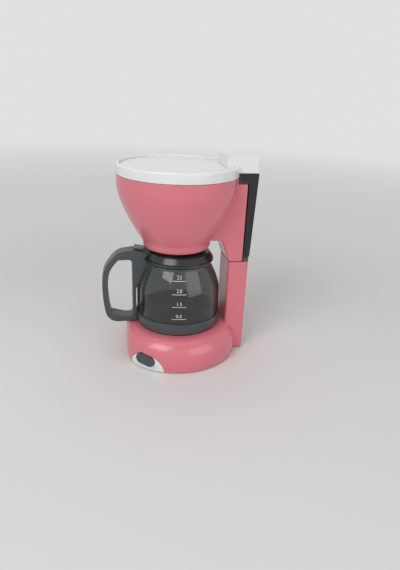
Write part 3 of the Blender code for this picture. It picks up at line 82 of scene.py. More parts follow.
# Levels and reaches taken from the frame
AXIS_Y = middle("jug_glass").y          # the jug, the plate and the base share this axis
BASE_FLOOR_Z = low("base_housing").z
SEAM_Z = high("base_housing").z         # the column meets the upper housing here
COLUMN_HALF_WIDTH = high("water_tank").x
COLUMN_REAR_Y = high("base_housing").y
TANK_LOW_Z = low("water_tank").z
TANK_TOP_Z = high("water_tank").z
TANK_TOP_REAR_Y = high("water_tank").y
TANK_FRONT_Y = low("tank_foot").y
TOWER_REAR_Y = TANK_FRONT_Y - GAP * 2
BOWL_TOP_Z = high("upper_housing").z
TAIL_TOP_Z = high("lid_frame").z
TAIL_REAR_Y = high("lid_frame").y
BAND_LOW_Z = low("jug_band").z
BAND_TOP_Z = high("jug_band").z
JUG_TOP_Z = high("jug_glass").z
COLLAR_TOP_Z = high("jug_collar").z
PLATE_LOW_Z = low("warming_plate").z
PLATE_TOP_Z = high("warming_plate").z

# Base and column
BASE_BULGE_Z = 10 * MM
BASE_TUCK = 1.5 * MM
BASE_TUCK_STEPS = 5
BASE_TOP_Z = 31.5 * MM
BASE_TOP_FLAT = 46 * MM
BASE_WALL = 2.2 * MM
FRONT_FLAT_START = 45 * MM
FRONT_REACH = 53 * MM
COLUMN_FRONT_Y = 49.5 * MM
COLUMN_CORNER = 2.2 * MM
COLUMN_WALL = 2 * MM
BOSS_RADIUS = 3.2 * MM
BOSS_PILOT_RADIUS = 1.3 * MM
BOSS_PLACE_SHARES = ((-0.72, 0.10), (0.70, 0.30), (-0.13, -0.66))   # of the base radius
COVER_TOP_Z = 3.8 * MM
COVER_LOW_Z = 1.2 * MM
SCREW_LENGTH = 10 * MM
SEAT_DEPTH = 1.8 * MM

# Warming plate
PLATE_RIM = 4 * MM
PLATE_DISH = 0.5 * MM
PLATE_RINGS = (12 * MM, 20 * MM, 28 * MM)
RING_HALF_WIDTH = 0.5 * MM
RING_DEPTH = 0.2 * MM

# Switch
SWITCH_ANGLE = 52           # degrees from the front towards +X
PANEL_HALF_WIDTH = 18.5 * MM
PANEL_HEIGHT = 15.5 * MM
PANEL_ARCH = 0.8            # below 1 the arch is fuller than a half circle
PANEL_PROUD = 0.4 * MM
PANEL_THICKNESS = 1.6 * MM
BUTTON_LENGTH = 20 * MM
BUTTON_WIDTH = 9.8 * MM
BUTTON_Z = 11.8 * MM
BUTTON_TILT = 8
BUTTON_PROUD = 2.4 * MM
BUTTON_DEPTH = 6.2 * MM
BUTTON_ROUND = 1.1 * MM
BUTTON_FLANGE = 1.2 * MM
BUTTON_FLANGE_THICKNESS = 1 * MM
STEM_SIZE = 3 * MM
STEM_LENGTH = 5.5 * MM

# Bowl and tower
BOWL_WAIST_Z = 118 * MM
BOWL_WAIST_RADIUS = 33.7 * MM
BOWL_WAIST_ROUND = 4 * MM
BOWL_BOTTOM_Z = 111.3 * MM
BOWL_BOTTOM_RADIUS = 31.2 * MM
BOWL_SHOULDER_Z = 170 * MM
BOWL_WALL = 2 * MM
BOWL_ROUND = 2.2 * MM
BOWL_SWELL = 1.45
TOWER_TOP_Z = 174 * MM
TOWER_NECK = (41.5 * MM, 119.5 * MM)
TOWER_ROOT_Y = 25 * MM
TOWER_WALL = 2 * MM
TOWER_ROUND = 1.6 * MM
SPIGOT_LOW_Z = 91.8 * MM
SPIGOT_HALF_WIDTH = 13 * MM
SPIGOT_Y = (52.5 * MM, 61 * MM)
SPIGOT_WALL = 1.5 * MM
SPOUT_HOLE_RADIUS = 3.8 * MM
HOSE_PASS = ((0, 45.5 * MM, 127.5 * MM), (0, 27 * MM, 128.4 * MM))

# Tank
TANK_WALL = 1.4 * MM
TANK_ROUND = 1 * MM
TANK_FOOT_ROUND = 0.4 * MM
TANK_TINT_SHARE = 0.24      # the tank's tint as a share of the jug's
TANK_BOTTOM_REAR_Y = 69.7 * MM
TANK_SHOULDER_Z = 174.3 * MM
TANK_SHOULDER_FRONT_Y = 48 * MM
NIPPLE_Y = 65.5 * MM
NIPPLE_RADIUS = 1.5 * MM
NIPPLE_BORE = 0.9 * MM

# Lid
LID_RIM_Z = 180.7 * MM
LID_TOP_Z = 190 * MM
LID_WALL = 2.2 * MM
LID_RING = 3.2 * MM
LID_ROUND = 1.6 * MM
DISC_ROUND = 0.9 * MM
LID_RECESS = 1.8 * MM
LID_DISC_THICKNESS = 1.8 * MM
LID_LEDGE = 3 * MM
LID_LIP_DEPTH = 4 * MM
TAIL_FRONT_Y = 42 * MM
TAIL_BOTTOM_Z = 183.9 * MM
TAIL_ROUND = 2 * MM

# Jug
JUG_WALL = 1.6 * MM
JUG_LIP_ROUND = 0.6 * MM
JUG_LIP_UNDER_ROUND = 0.4 * MM
JUG_NECK_ROUND = 1 * MM
JUG_STEP_ROUND = 0.5 * MM
JUG_FOOT_ROUND = 0.8 * MM
JUG_SHOULDER_Z = 68 * MM
JUG_NECK_Z = 94 * MM
JUG_NECK_RADIUS = 32.2 * MM
JUG_LIP_RADIUS = 34.5 * MM
JUG_LIP_Z = 98.5 * MM
JUG_SWELL = 1.4
BAND_WALL = 1.7 * MM
BAND_FLOOR = 1.2 * MM
BAND_SHELF = 6 * MM
JUG_FLOOR = 2 * MM
COLLAR_TOP_RADIUS = 30 * MM
COLLAR_HOLE_RADIUS = 25.5 * MM
COLLAR_SKIRT = 4 * MM
COLLAR_SKIRT_WALL = 1.4 * MM
COLLAR_STEP = 2.2 * MM
COLLAR_TOP_ROUND = 0.7 * MM
COLLAR_EDGE_ROUND = 0.8 * MM
COLLAR_SEAT_ROUND = 0.4 * MM
JUG_LID_RISE = 1.8 * MM
JUG_LID_HOLE = 4.5 * MM
JUG_LID_HOLE_ROUND = 0.4 * MM
JUG_LID_RIM_ROUND = 0.6 * MM
JUG_LID_CROWN_ROUND = 3 * MM
JUG_LID_SLOPE_ROUND = 2 * MM
THUMB_LENGTH = 24 * MM
THUMB_HALF_WIDTH = 6 * MM
THUMB_THICKNESS = 2.2 * MM
THUMB_EDGE_ROUND = 0.8 * MM
THUMB_ROOT_ROUND = 1.2 * MM
THUMB_TOP_ROUND = 6 * MM
THUMB_TIP_ROUND = 0.9 * MM
THUMB_UNDER_ROUND = 5 * MM
HANDLE_THICKNESS = 5.5 * MM
HANDLE_STRAP = 3.4 * MM
HANDLE_HOLE_ROUND = 3.5 * MM
HANDLE_ROUND = 1.7 * MM
# Outside of the grip, top to bottom, as shares of its depth and of its height
HANDLE_CURVE_SHARES = ((0.07, 1.0), (0.53, 0.955), (0.88, 0.78), (0.99, 0.61), (1.0, 0.42), (0.965, 0.23),
                       (0.89, 0.09), (0.68, 0.01), (0.30, 0.0))

# Marks printed on the jug: height and number above each line
MARKS = ((86.7 * MM, "2.5"), (74.8 * MM, "2.0"), (62.4 * MM, "1.5"), (49.6 * MM, "0.5"))
MARK_ANGLE = 83             # degrees from the front towards +X
LINE_THICKNESS = 0.45 * MM
LINE_STEPS = 24
NUMBER_RISE = 1.7 * MM      # from a line to the foot of its number
INK_LIFT = 0.06 * MM
INK_THICKNESS = 0.04 * MM

# Routes in millimetres: the hoses from end to end, the wires without their ends
FEED_ROUTE = ((17.8, 20.6, 13), (17.8, 28.6, 13), (12, 45, 12), (4, 57, 18), (1, 62.5, 28), (0, 64.8, 42),
              (0, 65.5, 58), (0, 65.5, 75), (0, 65.5, 92.5))
RISE_ROUTE = ((26.2, 20.6, 13), (26.2, 28.6, 13), (21, 44, 12), (11.5, 55.5, 20), (8, 57, 45), (6, 57, 75),
              (4, 56.5, 98), (2, 53, 116), (0, 45.5, 127.5), (0, 37, 128), (0, 27, 128.4), (0, 12, 127),
              (0, 4.5, 123.5), (0, 2.5, 119.7), (0, 2.5, 117.9))
RED_MIDDLE = ((-4.5, 33.5, 18), (6.5, 33.5, 19), (7.8, 25, 20.5), (8, 10, 21.5), (8.5, -12, 20), (15, -23, 16))
BLUE_MIDDLE = ((27, -20, 13),)
BLACK_MIDDLE = ((-1, 33, 13), (6.5, 32.5, 11.5), (7, 24, 9), (7, 8, 8), (7.5, -8, 8), (12, -17.5, 9.5))
HOSE_RADIUS = 1.8 * MM
WIRE_RADIUS = 0.6 * MM
WIRE_Z = 13 * MM            # level of the wires' ends at the battery box and the motor
BOX_END_Y = 32 * MM
BOX_END_X = (-12 * MM, -7 * MM)         # the red and the black wire
MOTOR_END_X = (23.95 * MM, 20.05 * MM)  # the blue and the black wire
UNIT_INSET = 18.2 * MM      # from the edge of the base to the wires' ends behind the switch unit
UNIT_END_SPREAD = 3 * MM
SPRING_WIRE = 0.4 * MM
SPRING_TURNS = 4.0
COVER_HEAD_HEIGHT = 1.2 * MM
DOOR_HEAD_HEIGHT = 0.8 * MM

# Feet
FOOT_ROUND = 0.5 * MM
FOOT_RECESS_SHARE = 0.55    # of a foot's radius

# Camera and light
CAMERA_PLACE = (0.4273, -0.0654, 0.2551)
CAMERA_AZIMUTH = 78
CAMERA_PITCH = 23.35
CAMERA_ROLL = 2.5
CAMERA_LENS = 29.05
CAMERA_SENSOR = 36
CAMERA_NEAR = 0.01
PALE_BACK = (0.75, 0.75, 0.74)
FLOOR_REACH = 6.0           # metres
WORLD_LIGHT = 0.30
LAMP_AIM = (0.0, 0.0, 0.10)
# Name, place and size in metres, and power in watts of each lamp
LAMPS = (("key_lamp", (0.75, -0.75, 0.95), (0.8, 0.8), 8.0), ("fill_lamp", (0.9, 0.7, 0.45), (0.9, 0.7), 3.0),
         ("top_lamp", (-0.1, 0.0, 1.2), (1.0, 1.0), 3.0))


def length_property(label, about, value, least, most):
    """A length in metres; its limits are in millimetres."""
    return bpy.props.FloatProperty(name=label, description=about, default=value, min=least * MM, max=most * MM,
                                   subtype="DISTANCE", unit="LENGTH", precision=5)


class ToySizes(bpy.types.PropertyGroup):
    """Sizes of the finished pieces."""
    base_radius: length_property("Base radius", "Widest radius of the base", high("base_housing").x, 40, 80)
    bowl_radius: length_property("Bowl radius", "Outer radius of the bowl", high("upper_housing").x, 40, 80)
    lid_radius: length_property("Lid radius", "Outer radius of the lid", high("lid_frame").x, 40, 80)
    jug_radius: length_property("Jug radius", "Outer radius of the jug's body", high("jug_glass").x, 30, 60)
    band_radius: length_property("Band radius", "Outer radius of the band round the jug's foot",
                                 high("jug_band").x, 30, 60)
    collar_radius: length_property("Collar radius", "Outer radius of the collar on the jug's mouth",
                                   high("jug_collar").x, 20, 60)
    handle_half_width: length_property("Handle half width", "Half the width of the jug's grip",
                                       high("jug_handle").x, 3, 12)
    edge_round: length_property("Edge rounding", "Radius on the outer edges of the mouldings",
                                0.5 * MM, 0.1, 1.5)
    mark_width: length_property("Mark width", "Length of each printed line on the jug", 14 * MM, 4, 30)
    number_height: length_property("Number height", "Height of the printed numbers on the jug", 4.7 * MM, 1, 8)
    turn_steps: bpy.props.IntProperty(
        name="Turn steps", description="Sides of the large turned shapes", default=128, min=32, max=256)


def colour_property(label, about, value):
    return bpy.props.FloatVectorProperty(name=label, description=about, default=value, size=3, min=0.0, max=1.0,
                                         subtype="COLOR")


class ToyColours(bpy.types.PropertyGroup):
    """Colours of the finished pieces, in linear light."""
    shell: colour_property("Shell", "Base, column, bowl and tower", (0.74, 0.19, 0.235))
    trim: colour_property("Trim", "Lid and switch panel", (0.84, 0.86, 0.85))
    grip: colour_property("Grip", "Handle, band and button", (0.055, 0.066, 0.072))
    dark: colour_property("Dark", "Collar, jug lid and plate", (0.012, 0.014, 0.016))
    smoke: colour_property("Smoke", "Tint of the clear jug and tank", (0.29, 0.315, 0.32))
    ink: colour_property("Ink", "Marks printed on the jug", (0.80, 0.80, 0.78))
    floor: colour_property("Floor", "Floor under the toy", (0.80, 0.80, 0.79))


# Nodes

class Wire:
    """One output of a node. An expression on it adds Math, Vector Math or Mix nodes."""

    def __init__(self, graph, socket):
        self.graph = graph
        self.socket = socket

    def _with(self, operation, first, second):
        kinds = {item.socket.type for item in (first, second) if isinstance(item, Wire)}
        if "RGBA" in kinds:
            return self.graph.node("ShaderNodeMix", {"data_type": "RGBA", "blend_type": operation},
                                   {0: 1.0, 6: spread(first), 7: spread(second)}, 2)
        if "VECTOR" in kinds:
            return self.graph.node("ShaderNodeVectorMath", {"operation": operation},
                                   {0: spread(first), 1: spread(second)})
        return self.graph.node("ShaderNodeMath", {"operation": operation}, {0: first, 1: second})

    def __add__(self, other):
        return self._with("ADD", self, other)

    def __radd__(self, other):
        return self._with("ADD", other, self)

    def __sub__(self, other):
        return self._with("SUBTRACT", self, other)

    def __rsub__(self, other):
        return self._with("SUBTRACT", other, self)

    def __mul__(self, other):
        return self._with("MULTIPLY", self, other)

    def __rmul__(self, other):
        return self._with("MULTIPLY", other, self)


def spread(value):
    """A number as three equal parts; anything else as it is."""
    return (value,) * 3 if isinstance(value, (int, float)) else value


class Graph:
    """A node tree in the making."""

    def __init__(self, tree):
        self.tree = tree

    def node(self, kind, settings=None, sockets=None, output=0):
        """Adds any node: its type, its settings, then the values or wires of its sockets."""
        made = self.tree.nodes.new(kind)
        for name, value in (settings or {}).items():
            if name == "stops":
                self.fill_ramp(made.color_ramp, value)
            else:
                setattr(made, name, value)
        for key, value in (sockets or {}).items():
            self.feed(made.inputs[key], value)
        return Wire(self, made.outputs[output]) if len(made.outputs) else None

    def feed(self, socket, value):
        if isinstance(value, Wire):
            self.tree.links.new(value.socket, socket)
        elif socket.type == "RGBA":
            socket.default_value = (*value[:3], 1.0)
        else:
            socket.default_value = value

    @staticmethod
    def fill_ramp(ramp, stops):
        while len(ramp.elements) < len(stops):
            ramp.elements.new(1.0)
        for element, (place, colour) in zip(ramp.elements, stops):
            element.position = place
            element.color = (*spread(colour), 1.0)


class Finish(Graph):
    """A material in the making. Its patterns lie on the piece's own coordinates."""

    def __init__(self, name):
        self.material = bpy.data.materials.new(name)
        self.material.use_nodes = True
        super().__init__(self.material.node_tree)
        self.tree.nodes.clear()
        self.place = self.node("ShaderNodeTexCoord", output=3)

    def noise(self, scale, detail=2.0, roughness=0.5, stretch=(1, 1, 1)):
        place = self.node("ShaderNodeMapping", sockets={"Vector": self.place, "Scale": stretch})
        return self.node("ShaderNodeTexNoise", sockets={"Vector": place, "Scale": scale, "Detail": detail,
                                                        "Roughness": roughness})

    def ramp(self, value, *stops):
        return self.node("ShaderNodeValToRGB", {"stops": stops}, {0: value})

    def between(self, share, first, second):
        return self.node("ShaderNodeMix", {"data_type": "RGBA"}, {0: share, 6: first, 7: second}, 2)

    def bump(self, height, depth, strength):
        return self.node("ShaderNodeBump", sockets={"Height": height, "Distance": depth, "Strength": strength})

    def finish(self, **sockets):
        """Closes the material with its shader; words in socket names are joined by underscores."""
        shader = self.node("ShaderNodeBsdfPrincipled",
                           sockets={name.replace("_", " "): value for name, value in sockets.items()})
        self.node("ShaderNodeOutputMaterial", sockets={"Surface": shader})
        return self.material


def toned(colour, factor, lift=0.0):
    """A colour made deeper or paler."""
    return [min(1.0, part * factor + lift) for part in colour]


def moulded(name, colour, roughness, coat):
    """Injection moulded plastic: faint flow marks, orange peel and handling marks."""
    look = Finish(name)
    flow = look.noise(14.0, 3.0, 0.55, (1.0, 1.0, 0.45))
    peel = look.noise(430.0, 1.0)
    touch = look.noise(46.0, 4.0, 0.6)
    pale = toned(colour, 1.05, 0.004)
    smear = look.ramp(touch, (0.42, 0.0), (0.70, 1.0))
    marked = look.ramp(look.noise(1500.0, 0.0), (0.70, 0.0), (0.78, 1.0))
    body = look.between(flow, toned(colour, 0.94), pale)
    grain = look.bump(peel, 0.003 * MM, 0.25)
    return look.finish(Base_Color=look.between(marked * 0.10, body, pale),
                       Roughness=roughness + smear * 0.06 + (flow - 0.5) * 0.05, Normal=grain,
                       IOR=1.53, Coat_Weight=coat, Coat_Roughness=0.08)


def satin(name, colour, roughness):
    """Finely etched plastic, as on the grip and the band."""
    look = Finish(name)
    etched = look.noise(2400.0, 2.0, 0.6)
    flow = look.noise(20.0, 2.0)
    worn = look.ramp(look.noise(70.0, 4.0, 0.65), (0.52, 0.0), (0.74, 1.0))
    body = look.between(flow * 0.6 + worn * 0.2, colour, toned(colour, 1.25, 0.006))
    return look.finish(Base_Color=body, Roughness=roughness + (etched - 0.5) * 0.10 - worn * 0.05,
                       Normal=look.bump(etched, 0.03 * MM, 0.5), IOR=1.50)


def clear(name, tint, weight):
    """Smoked clear plastic, with faint ripples from the mould and dust."""
    look = Finish(name)
    ripple = look.noise(28.0, 2.0, 0.5, (1.0, 1.0, 0.35))
    dust = look.ramp(look.noise(900.0, 2.0, 0.7), (0.66, 0.0), (0.80, 1.0))
    haze = look.noise(36.0, 4.0, 0.6)
    body = look.between(ripple, toned(tint, 0.88), tint)
    return look.finish(Base_Color=look.between(dust * 0.25, body, toned(tint, 1.08, 0.02)),
                       Roughness=0.035 + haze * 0.03 + dust * 0.08,
                       Normal=look.bump(ripple, 0.05 * MM, 0.4), IOR=1.49, Transmission_Weight=weight)


def printed(name, colour):
    """Pad-printed ink, slightly uneven in tone, roughness and grain."""
    look = Finish(name)
    thin = look.noise(1800.0, 2.0, 0.6)
    return look.finish(Base_Color=look.between(thin, toned(colour, 0.86), colour), Roughness=0.42 + thin * 0.12,
                       Normal=look.bump(thin, 0.01 * MM, 0.4))


def plated(name, colour, roughness):
    """Plated steel with drawing lines and a few dull patches."""
    look = Finish(name)
    lines = look.noise(700.0, 3.0, 0.6)
    dull = look.ramp(look.noise(90.0, 3.0), (0.45, 0.0), (0.72, 1.0))
    return look.finish(Base_Color=look.between(dull * 0.5 + lines * 0.2, colour, toned(colour, 0.82)),
                       Roughness=roughness + lines * 0.12 + dull * 0.10, Metallic=1.0,
                       Normal=look.bump(lines, 0.02 * MM, 0.4))


def rubber(name, colour):
    """Moulded rubber with a dry, dusty bloom."""
    look = Finish(name)
    pores = look.noise(1600.0, 3.0, 0.7)
    bloom = look.ramp(look.noise(120.0, 3.0), (0.40, 0.0), (0.75, 1.0))
    return look.finish(Base_Color=look.between(bloom * 0.4, colour, toned(colour, 1.0, 0.05)),
                       Roughness=0.78 + pores * 0.12, Normal=look.bump(pores, 0.05 * MM, 0.6))


def sleeve(name, colour, cap):
    """The printed sleeve of a cell: a coloured barrel with a bare metal end band."""
    look = Finish(name)
    along = look.node("ShaderNodeSeparateXYZ", sockets={0: look.place}, output=1)
    band = look.ramp(along * 18.0 + 0.5, (0.10, 1.0), (0.115, 0.0), (0.90, 0.0), (0.915, 1.0))
    crease = look.noise(260.0, 2.0)
    body = look.between(crease * 0.3, colour, toned(colour, 0.8))
    return look.finish(Base_Color=look.between(band, body, cap), Metallic=band * 0.9,
                       Roughness=0.30 + crease * 0.10, Normal=look.bump(crease, 0.02 * MM, 0.3))


def soft_tube(name, colour, roughness, weight=0.0):
    """Extruded hose or wire cover, with faint lengthwise streaks."""
    look = Finish(name)
    streak = look.noise(340.0, 2.0, 0.5, (1.0, 0.25, 0.25))
    return look.finish(Base_Color=look.between(streak, colour, toned(colour, 1.12, 0.01)),
                       Roughness=roughness + streak * 0.10, Normal=look.bump(streak, 0.02 * MM, 0.4),
                       Transmission_Weight=weight, IOR=1.43)


LOOKS = {}                  # finishes by slot, filled by the first operator


def make_looks(colours):
    LOOKS.update({
        "pink_abs": moulded("shell_gloss", tuple(colours.shell), 0.20, 0.15),
        "white_abs": moulded("trim_gloss", tuple(colours.trim), 0.24, 0.15),
        "gray_abs": satin("grip_satin", tuple(colours.grip), 0.34),
        "black_abs": moulded("dark_gloss", tuple(colours.dark), 0.20, 0.10),
        "smoked_clear": clear("smoked_clear_jug", tuple(colours.smoke), 0.94),
        "tank_clear": clear("smoked_clear_tank", toned(colours.smoke, TANK_TINT_SHARE), 0.85),
        "rubber_pad": rubber("foot_rubber", (0.03, 0.03, 0.03)),
        "steel_plate": plated("plated_steel", (0.62, 0.62, 0.60), 0.22),
        "cell_sleeve": sleeve("cell_sleeve_print", (0.02, 0.16, 0.08), (0.62, 0.60, 0.55)),
        "clear_hose": soft_tube("hose_clear", (0.72, 0.76, 0.76), 0.22, 0.6),
        "wire_red": soft_tube("wire_cover_red", (0.45, 0.02, 0.02), 0.38),
        "wire_blue": soft_tube("wire_cover_blue", (0.03, 0.08, 0.42), 0.38),
        "wire_black": soft_tube("wire_cover_black", (0.02, 0.02, 0.02), 0.38),
        "mark_ink": printed("mark_ink", tuple(colours.ink)),
    })


# Meshes

def new_object(name, mesh):
    made = bpy.data.objects.new(name, mesh)
    bpy.context.scene.collection.objects.link(made)
    return made


def from_bmesh(name, shape, outward=True):
    bmesh.ops.remove_doubles(shape, verts=shape.verts, dist=TOUCH)
    if outward:
        bmesh.ops.recalc_face_normals(shape, faces=shape.faces)
    mesh = bpy.data.meshes.new(name)
    shape.to_mesh(mesh)
    shape.free()
    return new_object(name, mesh)


def turned(name, profile, steps, axis_y=0.0, closed=False):
    """A half section of (radius, height) points swept round an upright axis."""
    shape = bmesh.new()
    rings = []
    for radius, height in profile:
        if radius < TOUCH:
            rings.append([shape.verts.new((0.0, axis_y, height))] * steps)
            continue
        rings.append([shape.verts.new((radius * math.cos(FULL_TURN * step / steps),
                                       axis_y + radius * math.sin(FULL_TURN * step / steps), height))
                      for step in range(steps)])
    pairs = list(zip(rings, rings[1:])) + ([(rings[-1], rings[0])] if closed else [])
    for upper, lower in pairs:
        for step in range(steps):
            after = (step + 1) % steps
            corners = list(dict.fromkeys((upper[step], lower[step], lower[after], upper[after])))
            if len(corners) > 2:
                shape.faces.new(corners)
    return from_bmesh(name, shape)


def slab(name, outlines, thickness, place):
    """A flat outline, with holes if more are given, made into a slab and set in a frame."""
    curve = bpy.data.curves.new(name, "CURVE")
    curve.dimensions = "2D"
    curve.fill_mode = "BOTH"
    curve.extrude = thickness / 2
    for outline in outlines:
        spline = curve.splines.new("POLY")
        spline.points.add(len(outline) - 1)
        spline.use_cyclic_u = True
        for point, (x, y) in zip(spline.points, outline):
            point.co = (x, y, 0.0, 1.0)
    made = new_object(name, curve)
    made.matrix_world = place
    made = plain(made, name)
    shape = bmesh.new()
    shape.from_mesh(made.data)
    bpy.data.objects.remove(made)
    return from_bmesh(name, shape)


def block(name, start, end):
    """A block between two corners, as a cutter or the start of a joined shape."""
    shape = bmesh.new()
    bmesh.ops.create_cube(shape, size=1.0)
    start, end = Vector(start), Vector(end)
    bmesh.ops.transform(shape, verts=shape.verts,
                        matrix=Matrix.Translation((start + end) / 2) @ Matrix.Diagonal((*(end - start), 1.0)))
    return from_bmesh(name, shape)


def rod(name, start, end, radius, sides):
    """A round bar between two points."""
    start, end = Vector(start), Vector(end)
    shape = bmesh.new()
    bmesh.ops.create_cone(shape, cap_ends=True, segments=sides, radius1=radius, radius2=radius,
                          depth=(end - start).length)
    turn = Vector((0, 0, 1)).rotation_difference(end - start).to_matrix().to_4x4()
    bmesh.ops.transform(shape, verts=shape.verts, matrix=Matrix.Translation((start + end) / 2) @ turn)
    return from_bmesh(name, shape)


def across(name, half_width, y_range, z_range):
    """A block that reaches as far to -X as to +X."""
    (near_y, far_y), (low_z, high_z) = y_range, z_range
    return block(name, (-half_width, near_y, low_z), (half_width, far_y, high_z))


def pin(name, x, y, low_z, high_z, radius, sides=24):
    """An upright round bar."""
    return rod(name, (x, y, low_z), (x, y, high_z), radius, sides)


def plain(obj, name):
    """An object with live modifiers as one plain mesh object at the origin."""
    bpy.context.view_layer.update()
    graph = bpy.context.evaluated_depsgraph_get()
    mesh = bpy.data.meshes.new_from_object(obj.evaluated_get(graph), preserve_all_data_layers=True,
                                           depsgraph=graph)
    mesh.transform(obj.matrix_world)
    bpy.data.objects.remove(obj, do_unlink=True)
    return new_object(name, mesh)


def eased(obj, width, angle=40, segments=3):
    """Rounds the edges that are sharper than an angle, and keeps a plain mesh."""
    bevel = obj.modifiers.new("ease", "BEVEL")
    bevel.width = width
    bevel.segments = segments
    bevel.limit_method = "ANGLE"
    bevel.angle_limit = math.radians(angle)
    return plain(obj, obj.name)


def worked(obj, *steps):
    """Joins to a shape, cuts from it or keeps what both share: steps are (how, shape) and use up their shape."""
    for how, other in steps:
        step = obj.modifiers.new(how.lower(), "BOOLEAN")
        step.operation = how
        step.solver = "EXACT"
        step.object = other
    made = plain(obj, obj.name)
    for _, other in steps:
        bpy.data.objects.remove(other, do_unlink=True)
    return made


def cut(obj, *others):
    return worked(obj, *(("DIFFERENCE", other) for other in others))


def join(obj, *others):
    return worked(obj, *(("UNION", other) for other in others))


def shared(obj, *others):
    return worked(obj, *(("INTERSECT", other) for other in others))


def shaded(obj, angle):
    """Smooth shading that follows the large faces, with the real edges kept sharp."""
    shape = bmesh.new()
    shape.from_mesh(obj.data)
    bmesh.ops.remove_doubles(shape, verts=shape.verts, dist=TOUCH)
    bmesh.ops.dissolve_degenerate(shape, edges=shape.edges, dist=TOUCH)
    shape.to_mesh(obj.data)
    shape.free()
    obj.data.shade_smooth()
    obj.data.set_sharp_from_angle(angle=math.radians(angle))
    weigh = obj.modifiers.new("weigh", "WEIGHTED_NORMAL")
    weigh.keep_sharp = True
    weigh.weight = 60
    return plain(obj, obj.name)


def put(obj, name, body, slot, nodes, look=None, angle=32):
    """Finishes a piece: shading, material, the body it rides on and the nodes it stands for."""
    if angle:
        obj = shaded(obj, angle)
    obj.name = name
    obj.data.name = name
    obj.data.materials.clear()
    obj.data.materials.append(LOOKS[look or slot])
    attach(obj, body)
    if nodes:
        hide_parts(*nodes)
    return obj


def put_turned(name, profile, sizes, body, slot, node, closed=False):
    """Turns a piece on the jug's axis and finishes it."""
    put(turned(name, profile, sizes.turn_steps, AXIS_Y, closed), name, body, slot, [node])


def arc_corner(before, here, after, radius, steps):
    """Points of a rounded corner between two straight runs."""
    back = (before - here).normalized()
    ahead = (after - here).normalized()
    half = back.angle(ahead) / 2
    if half < NEAR_STRAIGHT or abs(half - math.radians(90)) < NEAR_STRAIGHT:
        return [here]
    radius = min(radius, math.tan(half) * min((before - here).length, (after - here).length) * CORNER_SHARE)
    centre = here + (back + ahead).normalized() * radius / math.sin(half)
    first = here + back * radius / math.tan(half) - centre
    last = here + ahead * radius / math.tan(half) - centre
    swing = first.angle_signed(last)
    return [centre + Matrix.Rotation(-swing * step / (steps - 1), 2) @ first for step in range(steps)]


def soft(corners, closed=True, steps=5):
    """An outline whose corners are (x, y) or (x, y, radius)."""
    count = len(corners)
    points = []
    for index, corner in enumerate(corners):
        here = Vector(corner[:2])
        ends = not closed and index in (0, count - 1)
        if len(corner) < 3 or not corner[2] or ends:
            points.append(here)
            continue
        before = Vector(corners[index - 1][:2])
        after = Vector(corners[(index + 1) % count][:2])
        points += arc_corner(before, here, after, corner[2], steps)
    return [tuple(point) for point in points]


def smooth_route(points, steps):
    """Points on a Catmull-Rom curve through the route's own points."""
    ends = [Vector(point) for point in points]
    ends = [ends[0] * 2 - ends[1]] + ends + [ends[-1] * 2 - ends[-2]]
    made = []
    for a, b, c, d in zip(ends, ends[1:], ends[2:], ends[3:]):
        for step in range(steps):
            t = step / steps
            made.append((b * 2 + (c - a) * t + (a * 2 - b * 5 + c * 4 - d) * t * t
                         + (b * 3 - a - c * 3 + d) * t * t * t) / 2)
    made.append(ends[-2])
    return made


# Geometry Nodes trees

class Growth(Graph):
    """A Geometry Nodes tree with named inputs, which ends in Realize Instances and Set Material."""

    def __init__(self, name, inputs):
        super().__init__(bpy.data.node_groups.new(name, "GeometryNodeTree"))
        self.tree.interface.new_socket("Geometry", in_out="OUTPUT", socket_type="NodeSocketGeometry")
        for label, (kind, default, about) in inputs.items():
            socket = self.tree.interface.new_socket(label, in_out="INPUT", socket_type=kind, description=about)
            if default is not None:
                socket.default_value = default
        self.entry = self.tree.nodes.new("NodeGroupInput")

    def given(self, label):
        return Wire(self, self.entry.outputs[label])

    def vector(self, **parts):
        return self.node("ShaderNodeCombineXYZ", sockets=parts)

    def moved(self, geometry, **parts):
        return self.node("GeometryNodeTransform", sockets={"Geometry": geometry, "Translation": self.vector(**parts)})

    def joined(self, first, *others):
        whole = self.node("GeometryNodeJoinGeometry", sockets={0: first})
        for other in others:
            self.feed(whole.socket.node.inputs[0], other)
        return whole

    def cone(self, sides, top, bottom, depth, rows=1):
        return self.node("GeometryNodeMeshCone", sockets={"Vertices": sides, "Side Segments": rows,
                                                          "Radius Top": top, "Radius Bottom": bottom, "Depth": depth})

    def swept(self, path, sides, radius):
        """A round tube along a curve."""
        ring = self.node("GeometryNodeCurvePrimitiveCircle", sockets={"Resolution": sides, "Radius": radius})
        return self.node("GeometryNodeCurveToMesh", sockets={"Curve": path, "Profile Curve": ring, "Fill Caps": True})

    def close(self, geometry, material):
        real = self.node("GeometryNodeRealizeInstances", sockets={"Geometry": geometry})
        painted = self.node("GeometryNodeSetMaterial", sockets={"Geometry": real, "Material": material})
        self.node("NodeGroupOutput", sockets={"Geometry": painted})
        return self.tree


def grown(name, tree, start, values):
    """Runs a tree on a mesh and keeps the result as a plain mesh."""
    obj = new_object(name, start)
    step = obj.modifiers.new("grow", "NODES")
    step.node_group = tree
    sockets = {item.name: item.identifier for item in tree.interface.items_tree if item.in_out == "INPUT"}
    for label, value in values.items():
        step[sockets[label]] = value
    return plain(obj, name)


def size_input(default, about):
    return "NodeSocketFloat", default, about


